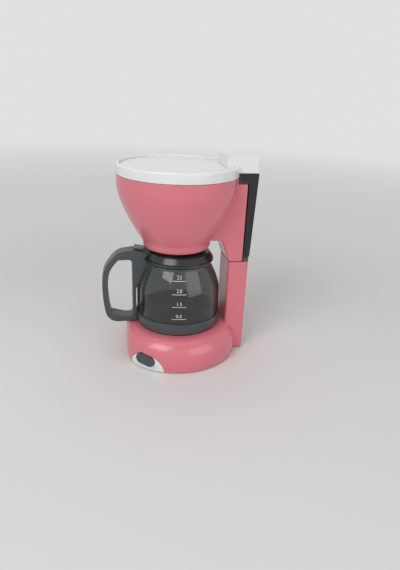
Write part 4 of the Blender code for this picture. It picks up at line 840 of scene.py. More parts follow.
def tube_tree():
    """A round tube along a path."""
    tree = Growth("tube_on_path", {
        "Geometry": ("NodeSocketGeometry", None, "A path of edges"),
        "Radius": size_input(HOSE_RADIUS, "Radius of the tube"),
        "Sides": ("NodeSocketInt", 20, "Sides of the tube"),
        "Material": ("NodeSocketMaterial", None, "Finish of the tube"),
    })
    path = tree.node("GeometryNodeMeshToCurve", sockets={"Mesh": tree.given("Geometry")})
    tube = tree.swept(path, tree.given("Sides"), tree.given("Radius"))
    smooth = tree.node("GeometryNodeSetShadeSmooth", sockets={"Geometry": tube})
    return tree.close(smooth, tree.given("Material"))


def coil_tree():
    """A contact spring: a coil that narrows towards its free end, along Y from its start."""
    tree = Growth("contact_coil", {
        "Geometry": ("NodeSocketGeometry", None, "An empty mesh, which the coil replaces"),
        "Start Radius": size_input(3.2 * MM, "Radius of the widest turn"),
        "End Radius": size_input(2.4 * MM, "Radius of the narrowest turn"),
        "Length": size_input(3 * MM, "Length of the coil"),
        "Turns": size_input(4.0, "Number of turns"),
        "Wire": size_input(0.4 * MM, "Radius of the wire"),
        "Place": ("NodeSocketVector", None, "Where the coil starts"),
        "Lean": size_input(math.radians(-90), "Turn about X that lays the coil along Y"),
        "Material": ("NodeSocketMaterial", None, "Finish of the wire"),
    })
    coil = tree.node("GeometryNodeCurveSpiral",
                     sockets={"Resolution": 40, "Rotations": tree.given("Turns"),
                              "Start Radius": tree.given("Start Radius"),
                              "End Radius": tree.given("End Radius"), "Height": tree.given("Length")})
    laid = tree.node("GeometryNodeTransform", sockets={
        "Geometry": tree.swept(coil, 10, tree.given("Wire")), "Rotation": tree.vector(X=tree.given("Lean")),
        "Translation": tree.given("Place")})
    smooth = tree.node("GeometryNodeSetShadeSmooth", sockets={"Geometry": laid})
    return tree.close(smooth, tree.given("Material"))


def screw_tree():
    """Pan-head screws with a cross recess, heads down, one on each point."""
    tree = Growth("cross_head_screws", {
        "Geometry": ("NodeSocketGeometry", None, "A point under the middle of each head"),
        "Head Radius": size_input(2.6 * MM, "Radius of the head"),
        "Head Height": size_input(1.2 * MM, "Height of the head"),
        "Shank Radius": size_input(1.0 * MM, "Radius of the shank"),
        "Length": size_input(9.4 * MM, "Length under the head"),
        "Material": ("NodeSocketMaterial", None, "Finish of the screws"),
    })
    head_radius, head_height = tree.given("Head Radius"), tree.given("Head Height")
    shank_radius, length = tree.given("Shank Radius"), tree.given("Length")
    head = tree.cone(28, head_radius, head_radius * 0.82, head_height, 2)
    arm, slot = head_radius * 1.15, head_radius * 0.22
    arms = [tree.node("GeometryNodeMeshCube", sockets={"Size": tree.vector(X=x, Y=y, Z=head_height)})
            for x, y in ((arm, slot), (slot, arm))]
    recess = tree.joined(*(tree.moved(bar, Z=head_height * -0.45) for bar in arms))
    notched = tree.node("GeometryNodeMeshBoolean", {"operation": "DIFFERENCE", "solver": "EXACT"},
                        {"Mesh 1": head, "Mesh 2": recess})
    tip = shank_radius * 1.5
    shank = tree.moved(tree.cone(20, shank_radius, shank_radius, length - tip, 8), Z=head_height)
    point = tree.moved(tree.cone(20, shank_radius * 0.3, shank_radius, tip), Z=head_height + (length - tip))
    whole = tree.joined(notched, shank, point)
    placed = tree.node("GeometryNodeInstanceOnPoints", sockets={"Points": tree.given("Geometry"),
                                                                "Instance": whole})
    return tree.close(placed, tree.given("Material"))


# Forms that are used more than once

def base_profile(sizes, inset, top_z, floor_z, steps=22):
    """Half section of the base, drawn in by inset all round."""
    sweep = sizes.base_radius - BASE_TOP_FLAT - inset
    points = [(0.0, top_z)]
    for step in range(steps + 1):
        angle = math.radians(90) * (1 - step / steps)
        points.append((BASE_TOP_FLAT + sweep * math.cos(angle),
                       BASE_BULGE_Z + (top_z - BASE_BULGE_Z) * math.sin(angle)))
    tuck_depth = BASE_BULGE_Z - BASE_FLOOR_Z
    for step in range(1, BASE_TUCK_STEPS + 1):
        share = step / BASE_TUCK_STEPS
        points.append((sizes.base_radius - inset - BASE_TUCK * share ** 2, BASE_BULGE_Z - tuck_depth * share))
    if floor_z < BASE_FLOOR_Z:
        points.append((sizes.base_radius - inset - BASE_TUCK, floor_z))
    points.append((0.0, floor_z))
    return points


def base_solid(name, sizes, inset, top_z, floor_z=BASE_FLOOR_Z):
    """The base's outer form, or its inside, with the flattened front."""
    obj = turned(name, base_profile(sizes, inset, top_z, floor_z), sizes.turn_steps, AXIS_Y)
    full = sizes.base_radius - inset - FRONT_FLAT_START
    wanted = FRONT_REACH - inset - FRONT_FLAT_START
    bend = (full - wanted) / full ** 2
    for vertex in obj.data.vertices:
        over = AXIS_Y - vertex.co.y - FRONT_FLAT_START
        if over > 0:
            vertex.co.y = AXIS_Y - FRONT_FLAT_START - (over - bend * over ** 2)
    return obj


def upright(name, half_width, front_y, rear_y, corner, low_z, high_z):
    """An upright block with rounded corners."""
    outline = soft([(-half_width, front_y, corner), (half_width, front_y, corner),
                    (half_width, rear_y, corner), (-half_width, rear_y, corner)], steps=8)
    return slab(name, [outline], high_z - low_z, Matrix.Translation((0, 0, (low_z + high_z) / 2)))


# A frame that stands a (y, z) outline upright across X
SIDE_FRAME = Matrix(((0, 0, 1, 0), (1, 0, 0, 0), (0, 1, 0, 0), (0, 0, 0, 1)))


def side_slab(name, outlines, half_width):
    return slab(name, outlines, half_width * 2, SIDE_FRAME)


SWITCH_OUT = Vector((math.sin(math.radians(SWITCH_ANGLE)), -math.cos(math.radians(SWITCH_ANGLE)), 0.0))
SWITCH_ALONG = Vector((0, 0, 1)).cross(SWITCH_OUT)


def switch_frame(height, reach, tilt=0.0):
    """A frame whose X runs along the base, Y up and Z out of it at the switch."""
    along = SWITCH_ALONG * math.cos(math.radians(tilt)) - Vector((0, 0, math.sin(math.radians(tilt))))
    turn = Matrix((along, SWITCH_OUT.cross(along), SWITCH_OUT)).transposed().to_4x4()
    return Matrix.Translation(Vector((0, AXIS_Y, height)) + SWITCH_OUT * reach) @ turn


def half_moon(grow, steps=48):
    """The switch panel's outline: level below and arched above."""
    half = PANEL_HALF_WIDTH + grow
    floor = COVER_LOW_Z - OVERRUN
    points = [(-half, floor), (half, floor)]
    for step in range(steps + 1):
        angle = math.radians(180) * step / steps
        points.append((half * math.cos(angle),
                       BASE_FLOOR_Z + (PANEL_HEIGHT + grow) * max(0.0, math.sin(angle)) ** PANEL_ARCH))
    return points


def stadium(length, width, steps=14):
    half = (length - width) / 2
    points = []
    for side in (1, -1):
        for step in range(steps + 1):
            angle = math.radians(-90 + 180 * step / steps)
            points.append((side * (half + width / 2 * math.cos(angle)), side * width / 2 * math.sin(angle)))
    return points


def through_wall(name, outline, sizes, height=0.0, tilt=0.0):
    """A prism that passes right through the base's wall at the switch."""
    return slab(name, [outline], sizes.base_radius / 2, switch_frame(height, sizes.base_radius, tilt))


def button_hole():
    return stadium(BUTTON_LENGTH + GAP * 2, BUTTON_WIDTH + GAP * 2)


def bowl_profile(sizes, inset, top_z, bottom_z, steps=26, edge=0.0):
    """Half section of the bowl: a straight collar, a swelling side and a rounded foot."""
    rim = sizes.bowl_radius - inset
    spread_by = sizes.bowl_radius - BOWL_WAIST_RADIUS
    points = [(0.0, top_z)]
    points += soft([(0.0, top_z), (rim, top_z, edge), (rim, BOWL_SHOULDER_Z)], closed=False)[1:]
    for step in range(1, steps + 1):
        share = step / steps
        points.append((rim - spread_by * share ** BOWL_SWELL,
                       BOWL_SHOULDER_Z - (BOWL_SHOULDER_Z - BOWL_WAIST_Z) * share))
    foot = BOWL_BOTTOM_RADIUS - inset
    points += soft([(rim - spread_by, BOWL_WAIST_Z),
                    (foot + BOWL_ROUND * 0.8, bottom_z + BOWL_ROUND, BOWL_WAIST_ROUND),
                    (foot + BOWL_ROUND * 0.1, bottom_z, BOWL_ROUND / 2), (0.0, bottom_z)], closed=False)[1:]
    return points


def tower_section(inset, low_z, top_z):
    """Side outline of the upper tower with its sloping neck, as (y, z) points."""
    neck_y, neck_z = TOWER_NECK
    return [(COLUMN_FRONT_Y + inset, low_z), (TOWER_REAR_Y - inset, low_z), (TOWER_REAR_Y - inset, top_z),
            (TOWER_ROOT_Y, top_z), (TOWER_ROOT_Y, neck_z + inset), (neck_y + inset / 2, neck_z + inset)]


def jug_reach(sizes, share):
    """The jug's outer radius at a share of the way from its shoulder up to its neck."""
    return sizes.jug_radius - (sizes.jug_radius - JUG_NECK_RADIUS) * share ** JUG_SWELL


def jug_side(sizes, grow, steps=20):
    """The jug's side from the neck down to the full width, moved out by grow."""
    shares = [step / steps for step in range(steps, -1, -1)]
    return [(jug_reach(sizes, share) + grow, JUG_SHOULDER_Z + (JUG_NECK_Z - JUG_SHOULDER_Z) * share)
            for share in shares]


class PieceMaker(bpy.types.Operator):
    """Makes one group of pieces."""
    bl_idname = "toy_coffee.piece"
    bl_label = "Piece"
    bl_options = {"REGISTER", "UNDO"}

    def make(self, sizes, colours):
        raise NotImplementedError(self.bl_idname)

    def execute(self, context):
        self.make(context.scene.toy_coffee_sizes, context.scene.toy_coffee_colours)
        return {"FINISHED"}


class MakeFinishes(PieceMaker):
    """Makes the finishes and gives them to the nodes that keep their own shape"""
    bl_idname = "toy_coffee.finishes"
    bl_label = "Finishes"

    def make(self, sizes, colours):
        make_looks(colours)
        slots = {part["node"]: part["material_slot"] for part in frame["record"]["subparts"]}
        for name, node in frame["nodes"].items():
            node.data.materials.clear()
            node.data.materials.append(LOOKS[slots[name]])


class MakeBase(PieceMaker):
    """Makes the base with its column"""
    bl_idname = "toy_coffee.base"
    bl_label = "Base"

    def make(self, sizes, colours):
        seat_z = BASE_TOP_Z - SEAT_DEPTH
        inner_top = seat_z - BASE_WALL
        body = base_solid("base_shell", sizes, 0.0, BASE_TOP_Z)
        column = upright("column", COLUMN_HALF_WIDTH, COLUMN_FRONT_Y, COLUMN_REAR_Y, COLUMN_CORNER,
                         BASE_FLOOR_Z, SEAM_Z)
        column = eased(column, sizes.edge_round, 60, 2)
        body = join(body, column)
        body = cut(body, base_solid("inner", sizes, BASE_WALL, inner_top, BASE_FLOOR_Z - OVERRUN),
                   across("column_inner", COLUMN_HALF_WIDTH - COLUMN_WALL,
                          (COLUMN_FRONT_Y + COLUMN_WALL, COLUMN_REAR_Y - COLUMN_WALL),
                          (BASE_FLOOR_Z - OVERRUN, SEAM_Z - COLUMN_WALL)),
                   pin("plate_seat", 0, AXIS_Y, seat_z, BASE_TOP_Z + OVERRUN, high("warming_plate").x + GAP,
                       sizes.turn_steps))
        body = cut(body,
                   across("spigot_hole", SPIGOT_HALF_WIDTH + GAP, (SPIGOT_Y[0] - GAP, SPIGOT_Y[1] + GAP),
                          (SEAM_Z - OVERRUN * 2, SEAM_Z + OVERRUN)),
                   pin("nipple_hole", 0, NIPPLE_Y, SEAM_Z - OVERRUN * 2, SEAM_Z + OVERRUN, NIPPLE_RADIUS + GAP),
                   through_wall("panel_hole", half_moon(GAP), sizes),
                   through_wall("button_hole", button_hole(), sizes, BUTTON_Z, BUTTON_TILT))
        for x_share, y_share in BOSS_PLACE_SHARES:
            x, y = sizes.base_radius * x_share, AXIS_Y + sizes.base_radius * y_share
            body = join(body, pin("boss", x, y, COVER_TOP_Z + GAP, inner_top + BASE_WALL / 2, BOSS_RADIUS, 32))
            body = cut(body, pin("pilot", x, y, COVER_TOP_Z - OVERRUN, COVER_TOP_Z + SCREW_LENGTH + GAP,
                                 BOSS_PILOT_RADIUS))
        put(body, "base_shell", "machine", "pink_abs", ["base_housing"])


class MakePlate(PieceMaker):
    """Makes the warming plate with its turned rings"""
    bl_idname = "toy_coffee.plate"
    bl_label = "Warming plate"

    def make(self, sizes, colours):
        radius = high("warming_plate").x
        rim = radius - PLATE_RIM
        dish = PLATE_TOP_Z - PLATE_DISH
        profile = [(0.0, dish)]
        for reach in PLATE_RINGS:
            profile += [(reach - RING_HALF_WIDTH, dish), (reach - RING_DEPTH, dish - RING_DEPTH),
                        (reach + RING_DEPTH, dish - RING_DEPTH), (reach + RING_HALF_WIDTH, dish)]
        profile += soft([profile[-1], (rim - PLATE_DISH, dish, FINE_ROUND), (rim, PLATE_TOP_Z, FINE_ROUND),
                         (radius, PLATE_TOP_Z, sizes.edge_round), (radius, PLATE_LOW_Z), (0.0, PLATE_LOW_Z)],
                        closed=False)[1:]
        put_turned("warming_plate_disc", profile, sizes, "machine", "black_abs", "warming_plate")


class MakeSwitch(PieceMaker):
    """Makes the switch panel and the push button"""
    bl_idname = "toy_coffee.switch"
    bl_label = "Switch"

    def make(self, sizes, colours):
        panel = base_solid("panel", sizes, -PANEL_PROUD, BASE_TOP_Z + PANEL_PROUD, COVER_LOW_Z)
        panel = shared(panel, through_wall("panel_shape", half_moon(0.0), sizes))
        panel = cut(panel, base_solid("panel_inner", sizes, PANEL_THICKNESS, BASE_TOP_Z - PANEL_THICKNESS,
                                      BASE_FLOOR_Z - OVERRUN),
                    through_wall("button_hole", button_hole(), sizes, BUTTON_Z, BUTTON_TILT))
        put(panel, "switch_half_moon", "machine", "white_abs", ["switch_panel"])

        back = sizes.base_radius - BUTTON_DEPTH
        cap = base_solid("cap", sizes, -BUTTON_PROUD, BASE_TOP_Z + BUTTON_PROUD)
        shape = slab("button_shape", [stadium(BUTTON_LENGTH, BUTTON_WIDTH)], BUTTON_PROUD * 2 + BUTTON_DEPTH,
                     switch_frame(BUTTON_Z, back + BUTTON_PROUD + BUTTON_DEPTH / 2, BUTTON_TILT))
        cap = eased(shared(cap, shape), BUTTON_ROUND, 50, 4)
        flange = slab("flange", [stadium(BUTTON_LENGTH + BUTTON_FLANGE * 2, BUTTON_WIDTH + BUTTON_FLANGE * 2)],
                      BUTTON_FLANGE_THICKNESS,
                      switch_frame(BUTTON_Z, back + BUTTON_FLANGE_THICKNESS / 2, BUTTON_TILT))
        side = STEM_SIZE / 2
        stem = block("stem", (-side, -side, -STEM_LENGTH), (side, side, 0))
        stem.data.transform(switch_frame(BUTTON_Z, back + BUTTON_FLANGE_THICKNESS / 2))
        put(join(cap, flange, stem), "push_button_cap", "button", "gray_abs", ["switch_button"])


class MakeBowl(PieceMaker):
    """Makes the bowl with the upper tower"""
    bl_idname = "toy_coffee.bowl"
    bl_label = "Bowl and tower"

    def make(self, sizes, colours):
        seam_z = SEAM_Z + GAP
        body = turned("bowl_and_tower", bowl_profile(sizes, 0.0, BOWL_TOP_Z, BOWL_BOTTOM_Z, edge=sizes.edge_round),
                      sizes.turn_steps)
        tower = side_slab("tower", [tower_section(0.0, seam_z, TOWER_TOP_Z)], COLUMN_HALF_WIDTH)
        tower = eased(tower, TOWER_ROUND, 35, 4)
        body = join(body, tower,
                    across("spigot", SPIGOT_HALF_WIDTH, SPIGOT_Y, (SPIGOT_LOW_Z, seam_z + TOWER_WALL)))
        duct = side_slab("duct", [tower_section(TOWER_WALL, seam_z + TOWER_WALL, TOWER_TOP_Z - TOWER_WALL)],
                         COLUMN_HALF_WIDTH - TOWER_WALL)
        duct = cut(duct, turned("limit", bowl_profile(sizes, 0.0, BOWL_TOP_Z + OVERRUN, BOWL_BOTTOM_Z),
                                sizes.turn_steps))
        body = cut(body, duct,
                   across("spigot_bore", SPIGOT_HALF_WIDTH - SPIGOT_WALL,
                          (SPIGOT_Y[0] + SPIGOT_WALL, SPIGOT_Y[1] - SPIGOT_WALL),
                          (SPIGOT_LOW_Z - OVERRUN, seam_z + TOWER_WALL * 2)),
                   turned("inside", bowl_profile(sizes, BOWL_WALL, BOWL_TOP_Z + OVERRUN, BOWL_BOTTOM_Z + BOWL_WALL),
                          sizes.turn_steps),
                   pin("spout_hole", 0, AXIS_Y, BOWL_BOTTOM_Z - OVERRUN, BOWL_BOTTOM_Z + OVERRUN * 1.5,
                       SPOUT_HOLE_RADIUS, 48),
                   rod("hose_hole", *HOSE_PASS, HOSE_RADIUS + GAP * 3, 24))
        put(body, "bowl_and_tower", "machine", "pink_abs", ["upper_housing"])


class MakeTank(PieceMaker):
    """Makes the clear water tank and its foot"""
    bl_idname = "toy_coffee.tank"
    bl_label = "Water tank"

    def section(self, inset, low_z, top_z, shoulder_z, corner):
        front = TANK_FRONT_Y + inset
        slope = (TANK_TOP_REAR_Y - TANK_BOTTOM_REAR_Y) / (TANK_TOP_Z - SEAM_Z)
        low_rear = TANK_BOTTOM_REAR_Y + slope * (low_z - SEAM_Z) - inset
        top_rear = TANK_BOTTOM_REAR_Y + slope * (top_z - SEAM_Z) - inset
        return soft([(front, low_z), (low_rear, low_z, corner), (top_rear, top_z),
                     (TANK_SHOULDER_FRONT_Y, top_z), (TANK_SHOULDER_FRONT_Y, shoulder_z), (front, shoulder_z)])

    def make(self, sizes, colours):
        def clearance(name, extra):
            return pin(name, 0, 0, BOWL_WAIST_Z, TAIL_TOP_Z + OVERRUN, sizes.bowl_radius + extra,
                       sizes.turn_steps)

        body = side_slab("tank", [self.section(0.0, TANK_LOW_Z, TANK_TOP_Z, TANK_SHOULDER_Z, TANK_ROUND * 2)],
                         COLUMN_HALF_WIDTH)
        body = eased(cut(body, clearance("front_cut", GAP)), TANK_ROUND)
        space = side_slab("space", [self.section(TANK_WALL, TANK_LOW_Z + TANK_WALL, TANK_TOP_Z + OVERRUN,
                                                 TANK_SHOULDER_Z + TANK_WALL, TANK_ROUND)],
                          COLUMN_HALF_WIDTH - TANK_WALL)
        space = cut(space, clearance("space_cut", GAP + TANK_WALL))
        body = cut(body, space, pin("outlet", 0, NIPPLE_Y, TANK_LOW_Z - OVERRUN, TANK_LOW_Z + OVERRUN / 2,
                                    NIPPLE_BORE, 16))
        put(body, "water_tank_shell", "machine", "smoked_clear", ["water_tank"], look="tank_clear")

        start, end = low("tank_foot"), high("tank_foot")
        foot = upright("tank_base", end.x, start.y, end.y, TANK_FOOT_ROUND * 2, SEAM_Z + GAP, end.z)
        foot = eased(foot, TANK_FOOT_ROUND, 60, 2)
        foot = join(foot, pin("nipple", 0, NIPPLE_Y, start.z, SEAM_Z + GAP * 3, NIPPLE_RADIUS))
        foot = cut(foot, pin("bore", 0, NIPPLE_Y, start.z - OVERRUN, end.z + OVERRUN, NIPPLE_BORE, 16))
        put(foot, "tank_base", "machine", "gray_abs", ["tank_foot"])


class MakeLid(PieceMaker):
    """Makes the lid: a ring with a raised tail, and the disc in its recess"""
    bl_idname = "toy_coffee.lid"
    bl_label = "Lid"

    def make(self, sizes, colours):
        radius = sizes.lid_radius
        lip = sizes.bowl_radius - BOWL_WALL - GAP
        floor_z = LID_TOP_Z - LID_RECESS - LID_DISC_THICKNESS
        ease = sizes.edge_round
        profile = soft([
            (radius, LID_TOP_Z, LID_ROUND), (radius, LID_RIM_Z, ease), (lip, LID_RIM_Z),
            (lip, LID_RIM_Z - LID_LIP_DEPTH, ease), (lip - LID_WALL, LID_RIM_Z - LID_LIP_DEPTH, ease),
            (lip - LID_WALL, floor_z - LID_WALL, ease), (radius - LID_RING - LID_LEDGE, floor_z - LID_WALL),
            (radius - LID_RING - LID_LEDGE, floor_z), (radius - LID_RING, floor_z),
            (radius - LID_RING, LID_TOP_Z, ease)])
        ring = turned("ring", profile, sizes.turn_steps, closed=True)
        tail = upright("tail", COLUMN_HALF_WIDTH, TAIL_FRONT_Y, TAIL_REAR_Y, TAIL_ROUND, LID_RIM_Z - TAIL_ROUND,
                       TAIL_TOP_Z)
        tail = eased(tail, TAIL_ROUND * 0.9, 60, 5)
        tail = cut(tail, across("underside", COLUMN_HALF_WIDTH + OVERRUN,
                                (TAIL_FRONT_Y - OVERRUN, TAIL_REAR_Y + OVERRUN),
                                (LID_RIM_Z - OVERRUN, TAIL_BOTTOM_Z)))
        ring = cut(join(ring, tail),
                   across("tail_space", COLUMN_HALF_WIDTH - LID_WALL,
                          (TAIL_FRONT_Y + LID_WALL, TAIL_REAR_Y - LID_WALL), (LID_RIM_Z, TAIL_TOP_Z - LID_WALL)))
        put(ring, "lid_ring_and_tail", "lid", "white_abs", ["lid_frame"])

        reach = radius - LID_RING - GAP
        top = LID_TOP_Z - LID_RECESS
        outline = soft([(0.0, top), (reach, top, DISC_ROUND), (reach, floor_z + GAP), (0.0, floor_z + GAP)],
                       closed=False)
        disc = turned("disc", outline, sizes.turn_steps)
        disc = cut(disc, across("tail_notch", COLUMN_HALF_WIDTH + GAP, (TAIL_FRONT_Y - GAP, TAIL_REAR_Y),
                                (floor_z - OVERRUN, TAIL_TOP_Z)))
        put(disc, "lid_centre_disc", "lid", "white_abs", ["lid_disc"])


class MakeJug(PieceMaker):
    """Makes the clear jug, the band round its foot and the collar on its mouth"""
    bl_idname = "toy_coffee.jug"
    bl_label = "Jug"

    def make(self, sizes, colours):
        seat = sizes.band_radius - BAND_WALL - GAP
        step_z = BAND_TOP_Z + GAP
        floor_z = BAND_LOW_Z + BAND_FLOOR + GAP
        inside = [(JUG_LIP_RADIUS - JUG_WALL * 2, JUG_TOP_Z, FINE_ROUND),
                  (JUG_NECK_RADIUS - JUG_WALL, JUG_LIP_Z - JUG_WALL, JUG_NECK_ROUND)]
        inside += jug_side(sizes, -JUG_WALL)
        inside += [(sizes.jug_radius - JUG_WALL, step_z + JUG_WALL, JUG_STEP_ROUND),
                   (seat - JUG_WALL, step_z, JUG_STEP_ROUND),
                   (seat - JUG_WALL, floor_z + JUG_FLOOR, JUG_FOOT_ROUND * 2), (0.0, floor_z + JUG_FLOOR)]
        outside = [(JUG_LIP_RADIUS, JUG_TOP_Z, JUG_LIP_ROUND), (JUG_LIP_RADIUS, JUG_LIP_Z, JUG_LIP_UNDER_ROUND),
                   (JUG_NECK_RADIUS + JUG_WALL / 2, JUG_LIP_Z - JUG_WALL, JUG_NECK_ROUND)]
        outside += jug_side(sizes, 0.0)
        outside += [(sizes.jug_radius, step_z, FINE_ROUND), (seat, step_z), (seat, floor_z, JUG_FOOT_ROUND),
                    (0.0, floor_z)]
        profile = soft(inside[::-1] + outside, closed=False)
        put_turned("jug_body", profile, sizes, "jug", "smoked_clear", "jug_glass")

        inner = sizes.band_radius - BAND_WALL
        ease = sizes.edge_round
        band = soft([(sizes.band_radius, BAND_TOP_Z, ease), (sizes.band_radius, BAND_LOW_Z, ease),
                     (inner - BAND_SHELF, BAND_LOW_Z), (inner - BAND_SHELF, BAND_LOW_Z + BAND_FLOOR),
                     (inner, BAND_LOW_Z + BAND_FLOOR), (inner, BAND_TOP_Z, ease)])
        put_turned("jug_foot_band", band, sizes, "jug", "gray_abs", "jug_band", closed=True)

        collar_z = JUG_TOP_Z + GAP
        skirt = JUG_NECK_RADIUS - JUG_WALL - GAP * 2
        top = COLLAR_TOP_Z
        collar = soft([
            (COLLAR_TOP_RADIUS, top, COLLAR_TOP_ROUND), (sizes.collar_radius, collar_z, COLLAR_EDGE_ROUND),
            (skirt, collar_z),
            (skirt, collar_z - COLLAR_SKIRT, FINE_ROUND),
            (skirt - COLLAR_SKIRT_WALL, collar_z - COLLAR_SKIRT, FINE_ROUND),
            (skirt - COLLAR_SKIRT_WALL, top - COLLAR_STEP * 2), (COLLAR_HOLE_RADIUS, top - COLLAR_STEP * 2),
            (COLLAR_HOLE_RADIUS, top - COLLAR_STEP), (COLLAR_TOP_RADIUS - COLLAR_STEP, top - COLLAR_STEP),
            (COLLAR_TOP_RADIUS - COLLAR_STEP, top, COLLAR_SEAT_ROUND)])
        put_turned("jug_mouth_collar", collar, sizes, "jug", "black_abs", "jug_collar", closed=True)


class MakeJugLid(PieceMaker):
    """Makes the jug lid with its thumb piece"""
    bl_idname = "toy_coffee.jug_lid"
    bl_label = "Jug lid"

    def make(self, sizes, colours):
        top = COLLAR_TOP_Z
        radius = COLLAR_TOP_RADIUS - COLLAR_STEP - GAP
        seat = top - COLLAR_STEP + GAP
        crown = top + JUG_LID_RISE
        disc = soft([(JUG_LID_HOLE, crown - JUG_LID_RISE * 0.7, JUG_LID_HOLE_ROUND),
                     (JUG_LID_HOLE * 2, crown - JUG_LID_RISE / 4, JUG_LID_SLOPE_ROUND),
                     (radius * 0.6, crown, JUG_LID_CROWN_ROUND),
                     (radius * 0.9, crown - JUG_LID_RISE / 4, JUG_LID_SLOPE_ROUND),
                     (radius, top, JUG_LID_RIM_ROUND), (radius, seat), (JUG_LID_HOLE, seat)])
        lid = turned("cap", disc, sizes.turn_steps, AXIS_Y, closed=True)
        rear = AXIS_Y - radius
        rest = top + GAP
        length, thick = THUMB_LENGTH, THUMB_THICKNESS
        outline = soft([
            (rear + length / 3, rest), (rear + length / 3, rest + thick * 0.7, THUMB_ROOT_ROUND),
            (rear - length / 3, rest + thick * 1.2, THUMB_TOP_ROUND),
            (rear - length * 2 / 3, rest + thick * 1.8, THUMB_TIP_ROUND),
            (rear - length * 0.7, rest + thick * 1.2, THUMB_TIP_ROUND),
            (rear - length / 3, rest, THUMB_UNDER_ROUND)], steps=7)
        thumb = eased(side_slab("thumb", [outline], THUMB_HALF_WIDTH), THUMB_EDGE_ROUND, 50, 3)
        put(join(lid, thumb), "jug_lid_and_thumb", "jug", "black_abs", ["jug_lid"])


class MakeHandle(PieceMaker):
    """Makes the D-shaped handle of the jug"""
    bl_idname = "toy_coffee.handle"
    bl_label = "Handle"

    def inset(self, points, distance):
        """A flat curve moved sideways, to the left of its direction of travel."""
        moved = []
        for before, here, after in zip(points, points[1:], points[2:]):
            along = (after - before).normalized()
            moved.append(here + Vector((-along.y, along.x)) * distance)
        return moved

    def make(self, sizes, colours):
        start, end = low("jug_handle"), high("jug_handle")
        strap_y = AXIS_Y - sizes.band_radius - GAP
        hole_y = strap_y - HANDLE_STRAP
        depth = strap_y - start.y
        height = end.z - start.z
        corners = [(strap_y - depth * out, start.z + height * up, 0) for out, up in HANDLE_CURVE_SHARES]
        grip = [point.to_2d() for point in smooth_route(corners, 8)]
        bridge_z = COLLAR_TOP_Z - COLLAR_STEP
        outer = [tuple(point) for point in grip] + [
            (strap_y, start.z), (strap_y, JUG_SHOULDER_Z), (AXIS_Y - JUG_NECK_RADIUS, JUG_NECK_Z),
            (AXIS_Y - COLLAR_TOP_RADIUS, JUG_TOP_Z + GAP), (AXIS_Y - COLLAR_TOP_RADIUS, bridge_z)]
        low_z = start.z + HANDLE_THICKNESS
        high_z = bridge_z - HANDLE_THICKNESS
        curve = [tuple(point) for point in self.inset(grip, HANDLE_THICKNESS)
                 if point.x < hole_y - HANDLE_STRAP / 2 and low_z < point.y < high_z]
        kept = [point for point in curve if low_z + HANDLE_HOLE_ROUND < point[1] < high_z - HANDLE_HOLE_ROUND]
        hole = kept + soft([kept[-1], (*curve[-1], HANDLE_HOLE_ROUND), (hole_y, low_z, HANDLE_STRAP),
                            (hole_y, high_z, HANDLE_STRAP), (*curve[0], HANDLE_HOLE_ROUND), kept[0]],
                           closed=False)[1:-1]
        handle = eased(side_slab("grip", [outer, hole], sizes.handle_half_width), HANDLE_ROUND, 50, 4)
        top_z = end.z + OVERRUN
        clear_of = [(0.0, top_z), (COLLAR_TOP_RADIUS + GAP, top_z), (COLLAR_TOP_RADIUS + GAP, COLLAR_TOP_Z),
                    (sizes.collar_radius + GAP, JUG_TOP_Z + GAP), (sizes.collar_radius + GAP, JUG_LIP_Z - GAP),
                    (JUG_NECK_RADIUS + JUG_WALL / 2 + GAP, JUG_LIP_Z - JUG_WALL)]
        clear_of += jug_side(sizes, GAP * 1.5)
        clear_of += [(sizes.band_radius + GAP, BAND_TOP_Z + GAP), (sizes.band_radius + GAP, start.z - OVERRUN),
                     (0.0, start.z - OVERRUN)]
        handle = cut(handle, turned("clear_of", clear_of, sizes.turn_steps, AXIS_Y))
        put(handle, "jug_grip", "jug", "gray_abs", ["jug_handle"])


class MakeMarks(PieceMaker):
    """Prints the lines and numbers on the jug"""
    bl_idname = "toy_coffee.marks"
    bl_label = "Jug marks"

    def wrap(self, mesh, sizes, height):
        """Lays a flat mesh, drawn in X and Y, on the jug's side at a height."""
        for vertex in mesh.vertices:
            level = height + vertex.co.y
            share = max(0.0, (level - JUG_SHOULDER_Z) / (JUG_NECK_Z - JUG_SHOULDER_Z))
            reach = jug_reach(sizes, share) + INK_LIFT + vertex.co.z
            angle = math.radians(MARK_ANGLE - 90) + vertex.co.x / sizes.jug_radius
            vertex.co = (reach * math.cos(angle), AXIS_Y + reach * math.sin(angle), level)

    def make(self, sizes, colours):
        pieces = []
        for height, number in MARKS:
            shape = bmesh.new()
            half = sizes.mark_width / 2
            rows = [[shape.verts.new((-half + half * 2 * step / LINE_STEPS, y, 0)) for step in range(LINE_STEPS + 1)]
                    for y in (-LINE_THICKNESS / 2, LINE_THICKNESS / 2)]
            for step in range(LINE_STEPS):
                shape.faces.new((rows[0][step], rows[0][step + 1], rows[1][step + 1], rows[1][step]))
            line = from_bmesh("line", shape, outward=False)
            self.wrap(line.data, sizes, height)
            text = bpy.data.curves.new("number", "FONT")
            text.body = number
            text.size = sizes.number_height
            text.align_x = "CENTER"
            digits = plain(new_object("number", text), "number")
            self.wrap(digits.data, sizes, height + NUMBER_RISE)
            pieces += [line, digits]
        whole = bmesh.new()
        for piece in pieces:
            whole.from_mesh(piece.data)
            bpy.data.objects.remove(piece)
        marks = from_bmesh("jug_marks", whole, outward=False)
        coat = marks.modifiers.new("ink", "SOLIDIFY")
        coat.thickness = INK_THICKNESS
        coat.offset = 1.0
        marks = plain(marks, "jug_marks")
        put(marks, "jug_marks", "jug", "white_abs", [], look="mark_ink", angle=0)


